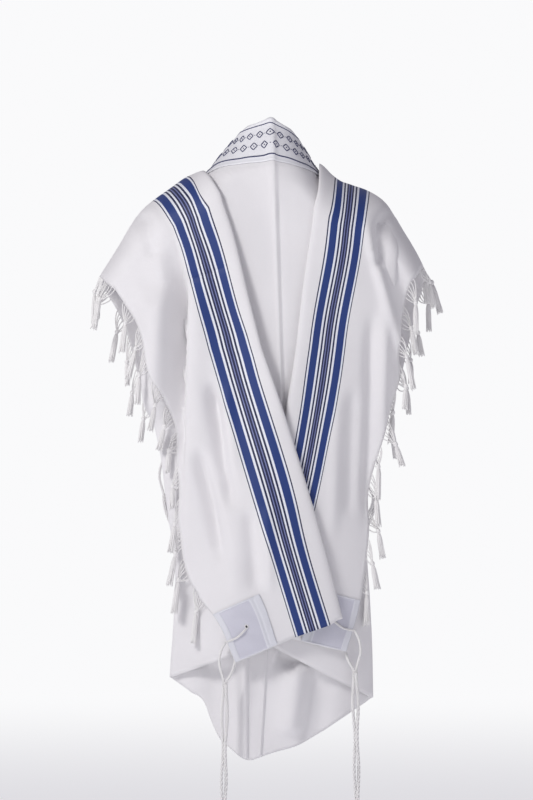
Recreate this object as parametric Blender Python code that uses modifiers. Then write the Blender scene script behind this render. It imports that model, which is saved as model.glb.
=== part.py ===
"""A tallit, a striped prayer shawl with knotted fringes, as it hangs on a wearer who has thrown both its ends
back over the shoulders. Metres, +Z up. The wearer faces +Y, so the back of the shawl faces -Y.

The cloth is one rectangle. Going out from the middle of the back it lies in three layers on each side:
the back cloth, an inner layer that comes back towards the spine from the side fold, and an outer layer that
goes out again from the inner fold to the fringed end. All of them pass over the shoulder and end in front.
"""
import math

import bmesh
import bpy
import numpy as np

# Sizes of the shawl as it was made
CLOTH_SHORT = 1.30
END_FROM_MIDDLE = 0.90
SIDE_FOLD_FROM_MIDDLE = 0.29
INNER_FOLD_FROM_MIDDLE = 0.65
WALL = 0.0016
TRIM_WALL = 0.0012
TRIM_LIFT = 0.0020
NECKBAND_LIFT = 0.0025
PATCH_MARGIN = 0.0025
SEAM_GAP = 0.0003
HEADING_GAP = 0.0008
SEAM_BEFORE_FOLD = 0.012
PATCH_WIDTH = 0.11
PATCH_HEIGHT = 0.10
EYELET_IN = 0.048
CORD_RADIUS = 0.0019
FRINGE_HEADING = 0.005
TASSEL_SPACING = 0.036
TASSEL_LENGTH = 0.064
TASSEL_ROOT = 0.007
TASSEL_WALL = 0.0020
STRAND_STAGGER = 0.0042

# Distance between the middles of two layers, on the shoulder and at the hem
LAYER_AT_SHOULDER = 0.007
LAYER_AT_HEM = 0.010

# Rows of the cloth: share of the way along it, way coordinate. The first and last are the two hems.
ROW_SHARES = (0.0, 0.46, 0.70, 0.82, 1.0)
ROW_WAYS = (-0.30, 0.0, 0.15)
PATCH_ROW_BEHIND = 0.077
PATCH_ROW_FRONT = 0.945

# The general figure that the cloth hangs on
ARCH_FOOT = 0.32
NECK_RADIUS = 0.066
SIDE_ROUNDNESS = 2.2

# Top of the figure seen from behind: distance out from the spine, height on the left, height on the right
SHOULDER_LINE = [
    (0.000, 0.105, 0.105),
    (0.030, 0.096, 0.090),
    (0.060, 0.076, 0.055),
    (0.092, 0.043, 0.008),
    (0.122, -0.004, -0.018),
    (0.150, -0.018, -0.030),
    (0.180, -0.036, -0.042),
    (0.205, -0.054, -0.059),
    (0.235, -0.083, -0.102),
    (0.268, -0.131, -0.162),
    (0.295, -0.177, -0.228),
    (0.325, -0.231, -0.294),
]

# The figure at each height: height, half width, depth behind, depth in front
FIGURE = [
    (-1.10, 0.226, 0.138, 0.120),
    (-0.80, 0.222, 0.144, 0.125),
    (-0.60, 0.232, 0.140, 0.130),
    (-0.42, 0.262, 0.136, 0.132),
    (-0.32, 0.296, 0.136, 0.130),
    (-0.20, 0.352, 0.134, 0.124),
    (-0.08, 0.372, 0.126, 0.112),
    (0.12, 0.372, 0.112, 0.090),
]

# Lines that run along the cloth from the hem behind, over the shoulder, to the edge in front.
# Behind and in front: height, distance out from the spine. On top: distance out where it crosses the shoulder.
LEFT_SIDE_FOLD = {
    "behind": [(-0.931, 0.176), (-0.80, 0.172), (-0.712, 0.172), (-0.660, 0.178), (-0.603, 0.187),
               (-0.527, 0.197), (-0.472, 0.209), (-0.390, 0.228), (-0.297, 0.238), (-0.23, 0.243)],
    "top": 0.246,
    "front": [(-0.46, 0.215)],
}
LEFT_INNER_FOLD = {
    "behind": [(-0.818, -0.135), (-0.71, -0.104), (-0.60, -0.072), (-0.416, -0.013), (-0.231, 0.041),
               (-0.12, 0.065), (-0.063, 0.081)],
    "top": 0.116,
    "front": [(-0.22, 0.092), (-0.42, 0.042)],
}
LEFT_END = {
    "behind": [(-0.899, 0.058), (-0.808, 0.099), (-0.782, 0.122), (-0.749, 0.140), (-0.712, 0.150),
               (-0.647, 0.157), (-0.564, 0.161), (-0.499, 0.171), (-0.452, 0.179), (-0.406, 0.188),
               (-0.353, 0.210), (-0.303, 0.223), (-0.238, 0.262)],
    "top": 0.305,
    "front": [(-0.30, 0.258), (-0.45, 0.214), (-0.56, 0.172)],
}
RIGHT_SIDE_FOLD = {
    "behind": [(-0.969, 0.181), (-0.86, 0.179), (-0.786, 0.177), (-0.675, 0.173), (-0.60, 0.178),
               (-0.49, 0.190), (-0.372, 0.209), (-0.25, 0.226)],
    "top": 0.234,
    "front": [(-0.46, 0.215)],
}
RIGHT_INNER_FOLD = {
    "behind": [(-0.838, -0.0555), (-0.70, -0.020), (-0.601, 0.004), (-0.448, 0.031), (-0.294, 0.0537),
               (-0.213, 0.063), (-0.061, 0.085)],
    "top": 0.0905,
    "front": [(-0.22, 0.084), (-0.42, 0.038)],
}
RIGHT_END = {
    "behind": [(-0.881, 0.131), (-0.792, 0.155), (-0.675, 0.170), (-0.583, 0.178), (-0.508, 0.190),
               (-0.444, 0.206), (-0.375, 0.230), (-0.311, 0.229), (-0.2275, 0.250)],
    "top": 0.275,
    "front": [(-0.30, 0.254), (-0.45, 0.212), (-0.56, 0.170)],
}
SIDES = {
    "left": {"sign": -1.0, "side_fold": LEFT_SIDE_FOLD, "inner_fold": LEFT_INNER_FOLD, "end": LEFT_END},
    "right": {"sign": 1.0, "side_fold": RIGHT_SIDE_FOLD, "inner_fold": RIGHT_INNER_FOLD, "end": RIGHT_END},
}

# Hem of the back cloth: share of the way from the spine to the side fold, height on the left, on the right
BACK_HEM = [
    (0.00, -1.074, -1.074),
    (0.12, -1.080, -1.066),
    (0.35, -1.058, -1.052),
    (0.50, -1.036, -1.036),
    (0.60, -1.002, -1.024),
    (0.64, -0.982, -1.018),
    (0.80, -0.955, -0.996),
    (1.00, -0.931, -0.969),
]
# Neck edge of the cloth in front: share of the way to the side fold, way past the top of the shoulder
NECK_EDGE = [
    (0.30, 0.045),
    (0.36, 0.078),
    (0.42, 0.125),
    (0.49, 0.190),
    (0.56, 0.250),
    (0.76, 0.360),
    (1.00, 0.460),
]
NECKBAND_REACH = 0.56
NECKBAND_FIRST_ROW = 18

# Soft folds in the back cloth: distance right of the spine at the hem, lean, half width, height out,
# height where the fold dies out, height where it is full
BACK_FOLDS = [
    (-0.036, 0.05, 0.020, 0.014, -0.90, -1.02),
    (0.004, 0.02, 0.020, -0.012, -0.90, -1.02),
    (0.052, -0.10, 0.028, 0.016, -0.90, -1.02),
    (0.105, 0.12, 0.026, -0.010, -0.90, -1.02),
    (-0.100, 0.10, 0.026, -0.012, -0.90, -1.02),
]
# Soft folds in the outer layer: distance in from the end, half width, height out,
# height where it starts, height where it ends
END_FOLDS = {
    "left": [(0.077, 0.022, 0.012, -0.38, -0.72)],
    "right": [(0.030, 0.020, 0.014, -0.18, -0.62)],
}


def smooth_curve(at, knots, values):
    """A curve through every row: cubic pieces whose slope at a knot is the mean slope of its neighbours."""
    knots = np.asarray(knots, float)
    values = np.asarray(values, float)
    at = np.clip(at, knots[0], knots[-1])
    slopes = np.gradient(values, knots)
    i = np.clip(np.searchsorted(knots, at, side="right") - 1, 0, len(knots) - 2)
    span = knots[i + 1] - knots[i]
    t = (at - knots[i]) / span
    return (
        values[i] * (1 + 2 * t) * (1 - t) ** 2
        + slopes[i] * span * t * (1 - t) ** 2
        + values[i + 1] * t * t * (3 - 2 * t)
        + slopes[i + 1] * span * t * t * (t - 1)
    )


def ease(t):
    """0 before 0, 1 after 1, and smooth between."""
    t = np.clip(t, 0.0, 1.0)
    return t * t * (3 - 2 * t)


def column(table, index):
    return [row[index] for row in table]


def shoulder_height(x):
    """Height of the top of the cloth at a distance x right of the spine."""
    out = column(SHOULDER_LINE, 0)
    left = smooth_curve(np.abs(x), out, column(SHOULDER_LINE, 1))
    right = smooth_curve(np.abs(x), out, column(SHOULDER_LINE, 2))
    return np.where(x < 0, left, right)


def figure_depth(x, z, front):
    """How far the figure's surface is from its middle plane: a rounded oblong section at each height."""
    heights = column(FIGURE, 0)
    half_width = smooth_curve(z, heights, column(FIGURE, 1))
    behind = smooth_curve(z, heights, column(FIGURE, 2))
    ahead = smooth_curve(z, heights, column(FIGURE, 3))
    share = np.clip(np.abs(x) / half_width, 0, 0.985)
    round_off = (1 - share**SIDE_ROUNDNESS) ** (1 / SIDE_ROUNDNESS)
    return np.where(front, ahead, -behind) * round_off


def neck_share(x):
    """1 at the nape and 0 beyond the neck."""
    return np.exp(-((x / 0.075) ** 2))


def arch_sizes(x, front):
    """Height of the top, drop of the rounding, its length, and the whole length down to the arch's foot."""
    top = shoulder_height(x)
    drop = 0.058 + 0.012 * np.exp(-(((np.abs(x) - 0.13) / 0.06) ** 2)) + 0.055 * neck_share(x)
    middle = ridge_plan(x)
    reach = np.abs(figure_depth(x, top - drop, front) - middle)
    rounding = math.pi / 2 * np.sqrt((reach**2 + drop**2) / 2)
    return top, drop, rounding, rounding + top - drop + ARCH_FOOT


def ridge_plan(x):
    """Where the top of the cloth lies front to back: round the back of the neck, then along the shoulder."""
    inside = np.sqrt(np.clip(NECK_RADIUS**2 - x**2, 0, None))
    return -0.92 * inside + 0.02 * ease((np.abs(x) - 0.15) / 0.15)


def figure_point(x, way):
    """A point of the figure's surface. way is the height behind, down to the arch's foot; 0 is the top of the
    shoulder; in front it is the height with its sign changed. Between the feet it is the share of the arch."""
    front = way > 0
    far = np.abs(way)
    top, drop, rounding, whole = arch_sizes(x, front)
    run = np.minimum(far / ARCH_FOOT, 1.0) * whole
    turn = np.clip(run / rounding, 0, 1)
    angle = turn * math.pi / 2
    neck = neck_share(x) * ~front
    fall = (1 - neck) * (1 - np.cos(angle)) + neck * turn
    swing = (1 - neck) * np.sin(angle) + neck * ease(turn) ** 0.8
    z = top - drop * fall - np.clip(run - rounding, 0, None) - np.clip(far - ARCH_FOOT, 0, None)
    middle = ridge_plan(x)
    y = middle + (figure_depth(x, z, front) - middle) * swing
    return np.stack([x + 0 * z, y, z], axis=-1)


def figure_normal(x, way):
    """The direction out of the figure's surface, from four points close by."""
    step = 0.004
    across = figure_point(x + step, way) - figure_point(x - step, way)
    along = figure_point(x, way + step) - figure_point(x, way - step)
    normal = np.cross(across, along)
    return normal / np.linalg.norm(normal, axis=-1, keepdims=True)


def cloth_point(x, way, out):
    """A point at a distance out from the figure, with the back cloth's folds under every layer."""
    z = figure_point(x, way)[..., 2]
    lift = out + back_fold_relief(x, z) * (way < 0)
    return figure_point(x, way) + figure_normal(x, way) * lift[..., None]


def back_fold_relief(x, z):
    """Height of the back cloth's soft folds: a sum of bell-shaped ridges that grow towards the hem."""
    relief = 0 * x
    for across, lean, half_width, height, start, full in BACK_FOLDS:
        centre = across + lean * (z - BACK_HEM[0][1])
        grown = ease((start - z) / (start - full))
        relief = relief + height * grown * np.exp(-(((x - centre) / half_width) ** 2))
    return relief


def way_of(x, z, front):
    """The way coordinate of a point that is seen at x and z, the inverse of figure_point."""
    top, drop, rounding, whole = arch_sizes(x, front)
    below = top - z
    on_arch = rounding * 2 / math.pi * np.arccos(np.clip(1 - below / drop, -1, 1))
    run = np.where(below > drop, rounding + below - drop, on_arch)
    far = np.where(z < -ARCH_FOOT, -z, run / whole * ARCH_FOOT)
    return np.where(front, far, -far)


def guide_line(line, sign):
    """One line along the cloth as a function: share of its length, from the hem behind to the front edge,
    to the distance right of the spine and the way coordinate."""
    heights_behind = np.array(column(line["behind"], 0))
    x_behind = sign * np.array(column(line["behind"], 1))
    heights_front = np.array(column(line["front"], 0))
    x_front = sign * np.array(column(line["front"], 1))
    ways = np.concatenate([
        way_of(x_behind, heights_behind, np.zeros(len(x_behind), bool)),
        [0.0],
        way_of(x_front, heights_front, np.ones(len(x_front), bool)),
    ])
    places = np.concatenate([x_behind, [sign * line["top"]], x_front])

    def at(share):
        way = np.interp(share, ROW_SHARES, (ways[0], *ROW_WAYS, ways[-1]))
        return smooth_curve(way, ways, places), way

    return at


LINES = {
    side: {name: guide_line(spec[name], spec["sign"]) for name in ("side_fold", "inner_fold", "end")}
    for side, spec in SIDES.items()
}


def layer_step(way):
    """Distance between two layers, small on the shoulder and larger towards the hem behind."""
    return LAYER_AT_SHOULDER + (LAYER_AT_HEM - LAYER_AT_SHOULDER) * ease((-way - 0.25) / 0.45)


def right_wing_edge(way):
    """Distance right of the spine of the right inner fold, beside each height behind."""
    rows = RIGHT_INNER_FOLD["behind"]
    return smooth_curve(way, column(rows, 0), column(rows, 1))


def lap_lift(side, x, way):
    """The left wing lies over the right one, so it rises by two layers where it crosses it."""
    if side == "right":
        return 0 * x
    over = ease((x - right_wing_edge(way) + 0.150) / 0.105)
    return 2 * layer_step(way) * over * (way < -0.05) * ease((-way - 0.20) / 0.15)


def end_fold_relief(side, from_end, way):
    """Height of the outer layer's soft folds, which start and end between two heights behind."""
    relief = 0 * from_end
    for inwards, half_width, height, start, end in END_FOLDS[side]:
        length = ease((start - way) / 0.10) * ease((way - end) / 0.14)
        relief = relief + height * length * np.exp(-(((from_end - inwards) / half_width) ** 2))
    return relief


def wing_point(side, turn, share, lift=0.0):
    """A point of a wing. turn runs over the section in metres of cloth from the middle of the back:
    the side fold's round, the inner layer, the inner fold's round, and the outer layer to the end.
    Before the side fold it is a narrow strip in the back cloth's own layer."""
    turn, share = np.broadcast_arrays(np.asarray(turn, float), np.asarray(share, float))
    sign = SIDES[side]["sign"]
    first_x, first_way = LINES[side]["side_fold"](share)
    fold_x, fold_way = LINES[side]["inner_fold"](share)
    end_x, end_way = LINES[side]["end"](share)
    inner_width = INNER_FOLD_FROM_MIDDLE - SIDE_FOLD_FROM_MIDDLE
    outer_width = END_FROM_MIDDLE - INNER_FOLD_FROM_MIDDLE
    inner = np.clip((turn - SIDE_FOLD_FROM_MIDDLE) / inner_width, 0, 1)
    outer = (turn - INNER_FOLD_FROM_MIDDLE) / outer_width
    is_outer = outer > 0
    x = np.where(is_outer, fold_x + (end_x - fold_x) * outer, first_x + (fold_x - first_x) * inner)
    way = np.where(is_outer, fold_way + (end_way - fold_way) * outer, first_way + (fold_way - first_way) * inner)
    step = layer_step(way)
    round_width = 0.006
    first_round = np.clip((turn - SIDE_FOLD_FROM_MIDDLE) / round_width, 0, 1)
    fold_round = np.clip((turn - INNER_FOLD_FROM_MIDDLE + round_width / 2) / round_width, 0, 1)
    bulge_out = np.sin(first_round * math.pi) * (turn < SIDE_FOLD_FROM_MIDDLE + round_width)
    bulge_in = np.sin(fold_round * math.pi)
    x = x + sign * (step / 2 * (bulge_out - bulge_in) + np.minimum(turn - SIDE_FOLD_FROM_MIDDLE, 0))
    layers = (1 - np.cos(first_round * math.pi)) / 2 + (1 - np.cos(fold_round * math.pi)) / 2
    out = layers * step + lap_lift(side, x, way)
    out = out + end_fold_relief(side, END_FROM_MIDDLE - turn, way) * ease((turn - INNER_FOLD_FROM_MIDDLE) / 0.05)
    return cloth_point(x, way, out + lift)


def back_point(across, share, lift=0.0):
    """A point of the back cloth. across is -1 at the seam beside the left side fold, 0 at the spine and 1 at
    the seam on the right. share runs from the hem to the neck edge in front, in step with the wings' rows."""
    across, share = np.broadcast_arrays(np.asarray(across, float), np.asarray(share, float))
    far = np.abs(across)
    shares = column(BACK_HEM, 0)
    left_hem = smooth_curve(far, shares, column(BACK_HEM, 1))
    right_hem = smooth_curve(far, shares, column(BACK_HEM, 2))
    hem = np.where(across < 0, left_hem, right_hem)
    neck = smooth_curve(far, column(NECK_EDGE, 0), column(NECK_EDGE, 1))
    front_way = LINES["left"]["side_fold"](1.0)[1]
    behind_way = np.interp(share, ROW_SHARES[:3], (0.0, 1.0, 2.0))
    way = np.where(behind_way < 1, hem + behind_way * (ROW_WAYS[0] - hem), ROW_WAYS[0] * (2 - behind_way))
    ahead = np.interp(share, ROW_SHARES[2:], (0.0, ROW_WAYS[2] / front_way, 1.0))
    way = way + ahead * neck
    side_x = np.where(across < 0, side_fold_at("left", way), side_fold_at("right", way))
    seam_x = side_x - np.sign(across) * (SEAM_BEFORE_FOLD + SEAM_GAP)
    x = seam_x * far + spine_line(way) * (1 - far)
    return cloth_point(x, way, lift + 0 * x)


def side_fold_at(side, way):
    """Distance right of the spine of a side fold at a way coordinate."""
    shares = np.linspace(0, 1, 60)
    x, ways = LINES[side]["side_fold"](shares)
    return np.interp(way, ways, x)


def spine_line(way):
    """The middle of the cloth, a little right of the spine on the back and left of it at the hem."""
    return 0.012 * ease((way + 0.75) / 0.3) * ease(-way / 0.12) - 0.016 * ease((-0.75 - way) / 0.3)


def clear_scene():
    for thing in list(bpy.data.objects):
        bpy.data.objects.remove(thing)


def finish_material(name, colour, roughness):
    material = bpy.data.materials.new(name)
    material.use_nodes = True
    shader = material.node_tree.nodes["Principled BSDF"]
    shader.inputs["Base Color"].default_value = (*colour, 1.0)
    shader.inputs["Roughness"].default_value = roughness
    shader.inputs["Metallic"].default_value = 0.0
    return material


def grid_faces(rows, columns):
    """Quads of a grid whose points are stored row by row."""
    start = (np.arange(rows - 1)[:, None] * columns + np.arange(columns - 1)).ravel()
    return np.stack([start, start + 1, start + columns + 1, start + columns], axis=1)


def vertex_normals(points, faces):
    """The mean direction out of the quads round each point."""
    corners = points[faces]
    across = np.cross(corners[:, 2] - corners[:, 0], corners[:, 3] - corners[:, 1])
    normals = np.zeros_like(points)
    for corner in range(4):
        np.add.at(normals, faces[:, corner], across)
    return normals / np.linalg.norm(normals, axis=1, keepdims=True)


def add_sheet(name, points, faces, wall, material, collection):
    """An open surface that Solidify turns into a wall, half of it on each side."""
    mesh = bpy.data.meshes.new(name)
    mesh.from_pydata(points.reshape(-1, 3).tolist(), [], faces.tolist())
    mesh.update()
    shawl_piece = bpy.data.objects.new(name, mesh)
    collection.objects.link(shawl_piece)
    mesh.materials.append(material)
    mesh.shade_smooth()
    solidify = shawl_piece.modifiers.new("wall", "SOLIDIFY")
    solidify.thickness = wall
    solidify.offset = 0.0
    solidify.use_even_offset = True
    return shawl_piece


def graded(stops, counts):
    """Even steps between one stop and the next, joined in one row of numbers."""
    parts = [np.linspace(a, b, n, endpoint=False) for a, b, n in zip(stops, stops[1:], counts)]
    return np.concatenate(parts + [[stops[-1]]])


def back_half_columns():
    """Columns of the back cloth from the spine to the seam beside the side fold, as shares."""
    return graded([0, NECK_EDGE[0][0], NECKBAND_REACH, 1], [5, 4, 5])


def back_piece(name, rows, half, lift, wall, material, collection):
    """A piece of the back cloth on both sides of the spine. In front only what lies outside the neck is kept."""
    across = np.concatenate([-half[:0:-1], half])
    points = back_point(across[None, :], rows[:, None]).reshape(-1, 3)
    quads = grid_faces(len(rows), len(across)).reshape(len(rows) - 1, -1, 4)
    row = rows[:-1, None]
    beside = np.minimum(np.abs(across[:-1]), np.abs(across[1:]))[None, :]
    faces = quads[(row < ROW_SHARES[2] - 1e-6) | (beside >= NECK_EDGE[0][0] - 1e-6)]
    used, faces = np.unique(faces, return_inverse=True)
    faces = faces.reshape(-1, 4)
    points = points[used]
    add_sheet(name, points + lift * vertex_normals(points, faces), faces, wall, material, collection)


def make_back_cloth(material, collection):
    back_piece("back_cloth", cloth_rows(), back_half_columns(), 0.0, WALL, material, collection)


def make_neckband(material, collection):
    half = back_half_columns()
    half = half[half <= NECKBAND_REACH + 1e-6]
    back_piece("neckband", cloth_rows()[NECKBAND_FIRST_ROW:], half, NECKBAND_LIFT, TRIM_WALL, material, collection)


def wing_columns():
    """Places across a wing: the side fold's round, the inner layer, the inner fold's round, the outer layer."""
    first = SIDE_FOLD_FROM_MIDDLE
    fold = INNER_FOLD_FROM_MIDDLE
    patch_starts = END_FROM_MIDDLE - PATCH_WIDTH
    return graded(
        [first - SEAM_BEFORE_FOLD, first, first + 0.006, fold - 0.003, fold + 0.003, patch_starts, END_FROM_MIDDLE],
        [1, 3, 6, 3, 3, 4],
    )


def cloth_rows():
    """Rows of the cloth from the hem behind to the edge in front, with a line along each patch."""
    behind, top, front = ROW_SHARES[1:4]
    return graded([0, PATCH_ROW_BEHIND, behind, top, front, PATCH_ROW_FRONT, 1], [2, 9, 9, 5, 4, 2])


def wing_grid(side):
    """The points and quads of a wing, with every quad facing out."""
    rows, columns = cloth_rows(), wing_columns()
    points = wing_point(side, columns[None, :], rows[:, None])
    faces = grid_faces(len(rows), len(columns))
    return points, faces[:, ::-1] if side == "left" else faces


def make_wing(side, material, collection):
    points, faces = wing_grid(side)
    add_sheet(f"{side}_wing", points, faces, WALL, material, collection)


def pull_in(line, neighbour, distance):
    """Move a line of points towards the next line, so that a patch ends short of the cloth's edge."""
    inwards = neighbour - line
    return line + inwards * distance / np.linalg.norm(inwards, axis=-1, keepdims=True)


def make_patch(side, end, material, collection):
    """A square sewn on a corner of the outer layer, on the face that shows, made from the wing's points."""
    points, faces = wing_grid(side)
    normals = vertex_normals(points.reshape(-1, 3), faces).reshape(points.shape)
    rows = cloth_rows()
    in_patch = rows <= PATCH_ROW_BEHIND + 1e-6 if end == "back" else rows >= PATCH_ROW_FRONT - 1e-6
    first_column = len(wing_columns()) - 5
    patch = points[in_patch][:, first_column:]
    lifts = normals[in_patch][:, first_column:] * TRIM_LIFT
    hem, next_to_hem = (0, 1) if end == "back" else (-1, -2)
    patch[hem] = pull_in(patch[hem], patch[next_to_hem], PATCH_MARGIN)
    patch[:, -1] = pull_in(patch[:, -1], patch[:, -2], PATCH_MARGIN)
    quads = grid_faces(*patch.shape[:2])
    if side == "left":
        quads = quads[:, ::-1]
    add_sheet(f"patch_{end}_{side}", patch + lifts, quads, TRIM_WALL, material, collection)


def end_lengths(side):
    """Shares along the end of the cloth and the distance from the corner behind to each of them."""
    shares = np.linspace(0, 1, 400)
    points = wing_point(side, END_FROM_MIDDLE, shares)
    steps = np.linalg.norm(np.diff(points, axis=0), axis=1)
    return shares, np.concatenate([[0.0], np.cumsum(steps)])


def share_at_length(side, length):
    shares, lengths = end_lengths(side)
    return np.interp(length, lengths, shares)


def between_rows(share, rows, points):
    """Points on the straight lines that join the rows."""
    return np.stack([np.interp(share, rows, points[:, axis]) for axis in range(3)], axis=1)


def make_fringe(side, material, collection):
    """The knotted fringe: a narrow heading beside the cloth's end, with a flat strand hanging at each knot.
    A strand leaves the heading square to it and turns down. Neighbours hang a little in front of each other."""
    edge_length = end_lengths(side)[1][-1]
    room = edge_length - 2 * PATCH_HEIGHT - 0.03
    count = int(room / TASSEL_SPACING)
    middles = PATCH_HEIGHT + 0.015 + (np.arange(count) + 0.5) * room / count
    roots = np.stack([middles - TASSEL_ROOT / 2, middles + TASSEL_ROOT / 2], axis=1).ravel()
    roots = share_at_length(side, roots)

    # The heading follows the wing's own edge, so it has a point at every row of the wing too,
    # but for rows within a strand's root, which would part the strand from the heading
    rows = cloth_rows()
    beyond = wing_point(side, END_FROM_MIDDLE + FRINGE_HEADING, rows)
    edge_points = wing_point(side, END_FROM_MIDDLE, rows)
    outwards = beyond - edge_points
    outwards /= np.linalg.norm(outwards, axis=1, keepdims=True)
    inside = rows[np.searchsorted(roots, rows) % 2 == 0]
    inside = inside[(inside > roots[0]) & (inside < roots[-1])]
    inside = inside[np.abs(inside[:, None] - roots[None, :]).min(axis=1) > 0.003]
    along = np.sort(np.concatenate([roots, inside]))
    inner_edge = between_rows(along, rows, edge_points + outwards * HEADING_GAP)
    outer_edge = between_rows(along, rows, edge_points + outwards * FRINGE_HEADING)
    points = [inner_edge, outer_edge]
    strip = np.arange(len(along) - 1)
    faces = [np.stack([strip, strip + 1, strip + 1 + len(along), strip + len(along)], axis=1)]

    root_places = np.searchsorted(along, roots)
    inner_edge, outer_edge = inner_edge[root_places], outer_edge[root_places]
    starts, ends = outer_edge[0::2], outer_edge[1::2]
    edge = ends - starts
    edge /= np.linalg.norm(edge, axis=1, keepdims=True)
    outward = (outer_edge - inner_edge)[0::2]
    outward -= (outward * edge).sum(axis=1, keepdims=True) * edge
    outward /= np.linalg.norm(outward, axis=1, keepdims=True)
    normal = np.cross(edge, outward) * -SIDES[side]["sign"]
    down = np.array([0.0, 0.0, -1.0])
    stagger = normal * (0.8 + np.arange(count) % 2)[:, None] * STRAND_STAGGER

    # Each section of a strand: distance from the heading, share of the turn downwards, width, share of stagger
    sections = [(0.016, 0.30, 0.0040, 0.6), (0.030, 0.75, 0.0070, 1.0), (TASSEL_LENGTH, 0.75, 0.0072, 1.0)]
    previous = root_places + len(along)
    place, travelled, first = (starts + ends) / 2, 0.0, 2 * len(along)
    for distance, hang, width, staggered in sections:
        heading = (1 - hang) * outward + hang * down
        heading /= np.linalg.norm(heading, axis=1, keepdims=True)
        place = place + heading * (distance - travelled)
        travelled = distance
        sideways = np.cross(heading, normal)
        sideways /= np.linalg.norm(sideways, axis=1, keepdims=True)
        sideways *= np.sign((sideways * edge).sum(axis=1, keepdims=True))
        centre = place + stagger * staggered
        pair = np.stack([centre - sideways * width / 2, centre + sideways * width / 2], axis=1)
        points.append(pair.reshape(-1, 3))
        current = first + np.arange(2 * count)
        faces.append(np.stack([previous[0::2], previous[1::2], current[1::2], current[0::2]], axis=1))
        previous, first = current, first + 2 * count
    faces = np.concatenate(faces)
    if side == "right":
        faces = faces[:, ::-1]
    add_sheet(f"fringe_{side}", np.concatenate(points), faces, TASSEL_WALL, material, collection)


def ring_around(centre, direction, radius, sides, reference):
    """Points of a ring square to a direction, the first of them towards the reference direction."""
    direction = direction / np.linalg.norm(direction)
    first = reference - direction * (reference @ direction)
    first /= np.linalg.norm(first)
    second = np.cross(direction, first)
    angles = np.arange(sides) * 2 * math.pi / sides
    return centre + radius * (np.cos(angles)[:, None] * first + np.sin(angles)[:, None] * second)


def make_corner_threads(side, end, material, collection):
    """The knotted threads at a corner: one cord from the eyelet, over the end of the cloth and down to a knot,
    which is the head, and four strands that hang from the knot."""
    corner = 0.0 if end == "back" else end_lengths(side)[1][-1]
    towards = 1 if end == "back" else -1
    share = share_at_length(side, corner + towards * EYELET_IN)
    share_over = share_at_length(side, corner + towards * EYELET_IN * 0.8)
    clear = TRIM_LIFT + TRIM_WALL / 2 + SEAM_GAP + CORD_RADIUS
    eyelet = wing_point(side, END_FROM_MIDDLE - EYELET_IN, share, clear)
    halfway = wing_point(side, END_FROM_MIDDLE - EYELET_IN / 2, (share + share_over) / 2, clear + 0.0016)
    over = wing_point(side, END_FROM_MIDDLE + 0.004, share_over, clear + 0.0008)
    knot = over + np.array([SIDES[side]["sign"] * 0.002, 0.0, -0.068])
    cord = CORD_RADIUS
    # Centre of each ring along the head, and its radius
    head = [
        (eyelet, cord), (halfway, cord), (over, cord),
        (over * 0.75 + knot * 0.25 + np.array([SIDES[side]["sign"] * 0.003, 0, 0]), cord),
        (over * 0.15 + knot * 0.85, cord), (knot + np.array([0, 0, 0.004]), 0.0045),
        (knot - np.array([0, 0, 0.004]), 0.0045), (knot - np.array([0, 0, 0.009]), 0.0036),
    ]
    centres = np.array([row[0] for row in head])
    radii = [row[1] for row in head]
    directions = np.gradient(centres, axis=0)
    reference = np.array([0.0, -1.0, 0.0]) if end == "back" else np.array([0.0, 1.0, 0.0])
    sides = 8
    rings = [ring_around(c, d, r, sides, reference) for c, d, r in zip(centres, directions, radii)]
    work = bmesh.new()
    loops = [[work.verts.new(p) for p in ring] for ring in rings]
    work.faces.new(loops[0][::-1])
    for upper, lower in zip(loops, loops[1:]):
        for i in range(sides):
            j = (i + 1) % sides
            work.faces.new([upper[i], upper[j], lower[j], lower[i]])
    bottom = centres[-1]
    middle = work.verts.new(bottom)
    strand_half = 0.0013
    for strand in range(4):
        corner = [loops[-1][2 * strand], loops[-1][2 * strand + 1], loops[-1][(2 * strand + 2) % sides], middle]
        away = rings[-1][2 * strand + 1] - bottom
        away = away / np.linalg.norm(away)
        beside = np.cross(away, np.array([0.0, 0.0, 1.0]))
        # Each section of a strand: drop below the knot, distance from the axis
        previous = corner
        for drop, spread in [(0.020, 0.0032), (0.13, 0.0030), (0.26 + 0.008 * strand, 0.0034)]:
            centre = bottom + away * spread + np.array([0.0, 0.0, -drop])
            offsets = [-beside, away, beside, -away]
            if np.dot(rings[-1][2 * strand] - rings[-1][2 * strand + 1], beside) > 0:
                offsets = [beside, away, -beside, -away]
            current = [work.verts.new(centre + o * strand_half) for o in offsets]
            for i in range(4):
                j = (i + 1) % 4
                work.faces.new([previous[i], previous[j], current[j], current[i]])
            previous = current
        work.faces.new(previous)
    bmesh.ops.recalc_face_normals(work, faces=work.faces)
    name = f"tzitzit_{end}_{side}"
    mesh = bpy.data.meshes.new(name)
    work.to_mesh(mesh)
    work.free()
    mesh.materials.append(material)
    mesh.shade_smooth()
    collection.objects.link(bpy.data.objects.new(name, mesh))


def make_shawl():
    clear_scene()
    shawl = bpy.data.collections.new("prayer_shawl")
    bpy.context.scene.collection.children.link(shawl)
    wool = finish_material("white_wool", (0.86, 0.85, 0.84), 0.85)
    satin = finish_material("white_satin", (0.84, 0.85, 0.89), 0.55)
    thread = finish_material("wool_thread", (0.88, 0.87, 0.85), 0.9)
    make_back_cloth(wool, shawl)
    make_neckband(satin, shawl)
    for side in SIDES:
        make_wing(side, wool, shawl)
        make_fringe(side, thread, shawl)
        for end in ("back", "front"):
            make_patch(side, end, satin, shawl)
            make_corner_threads(side, end, thread, shawl)


make_shawl()
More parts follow.
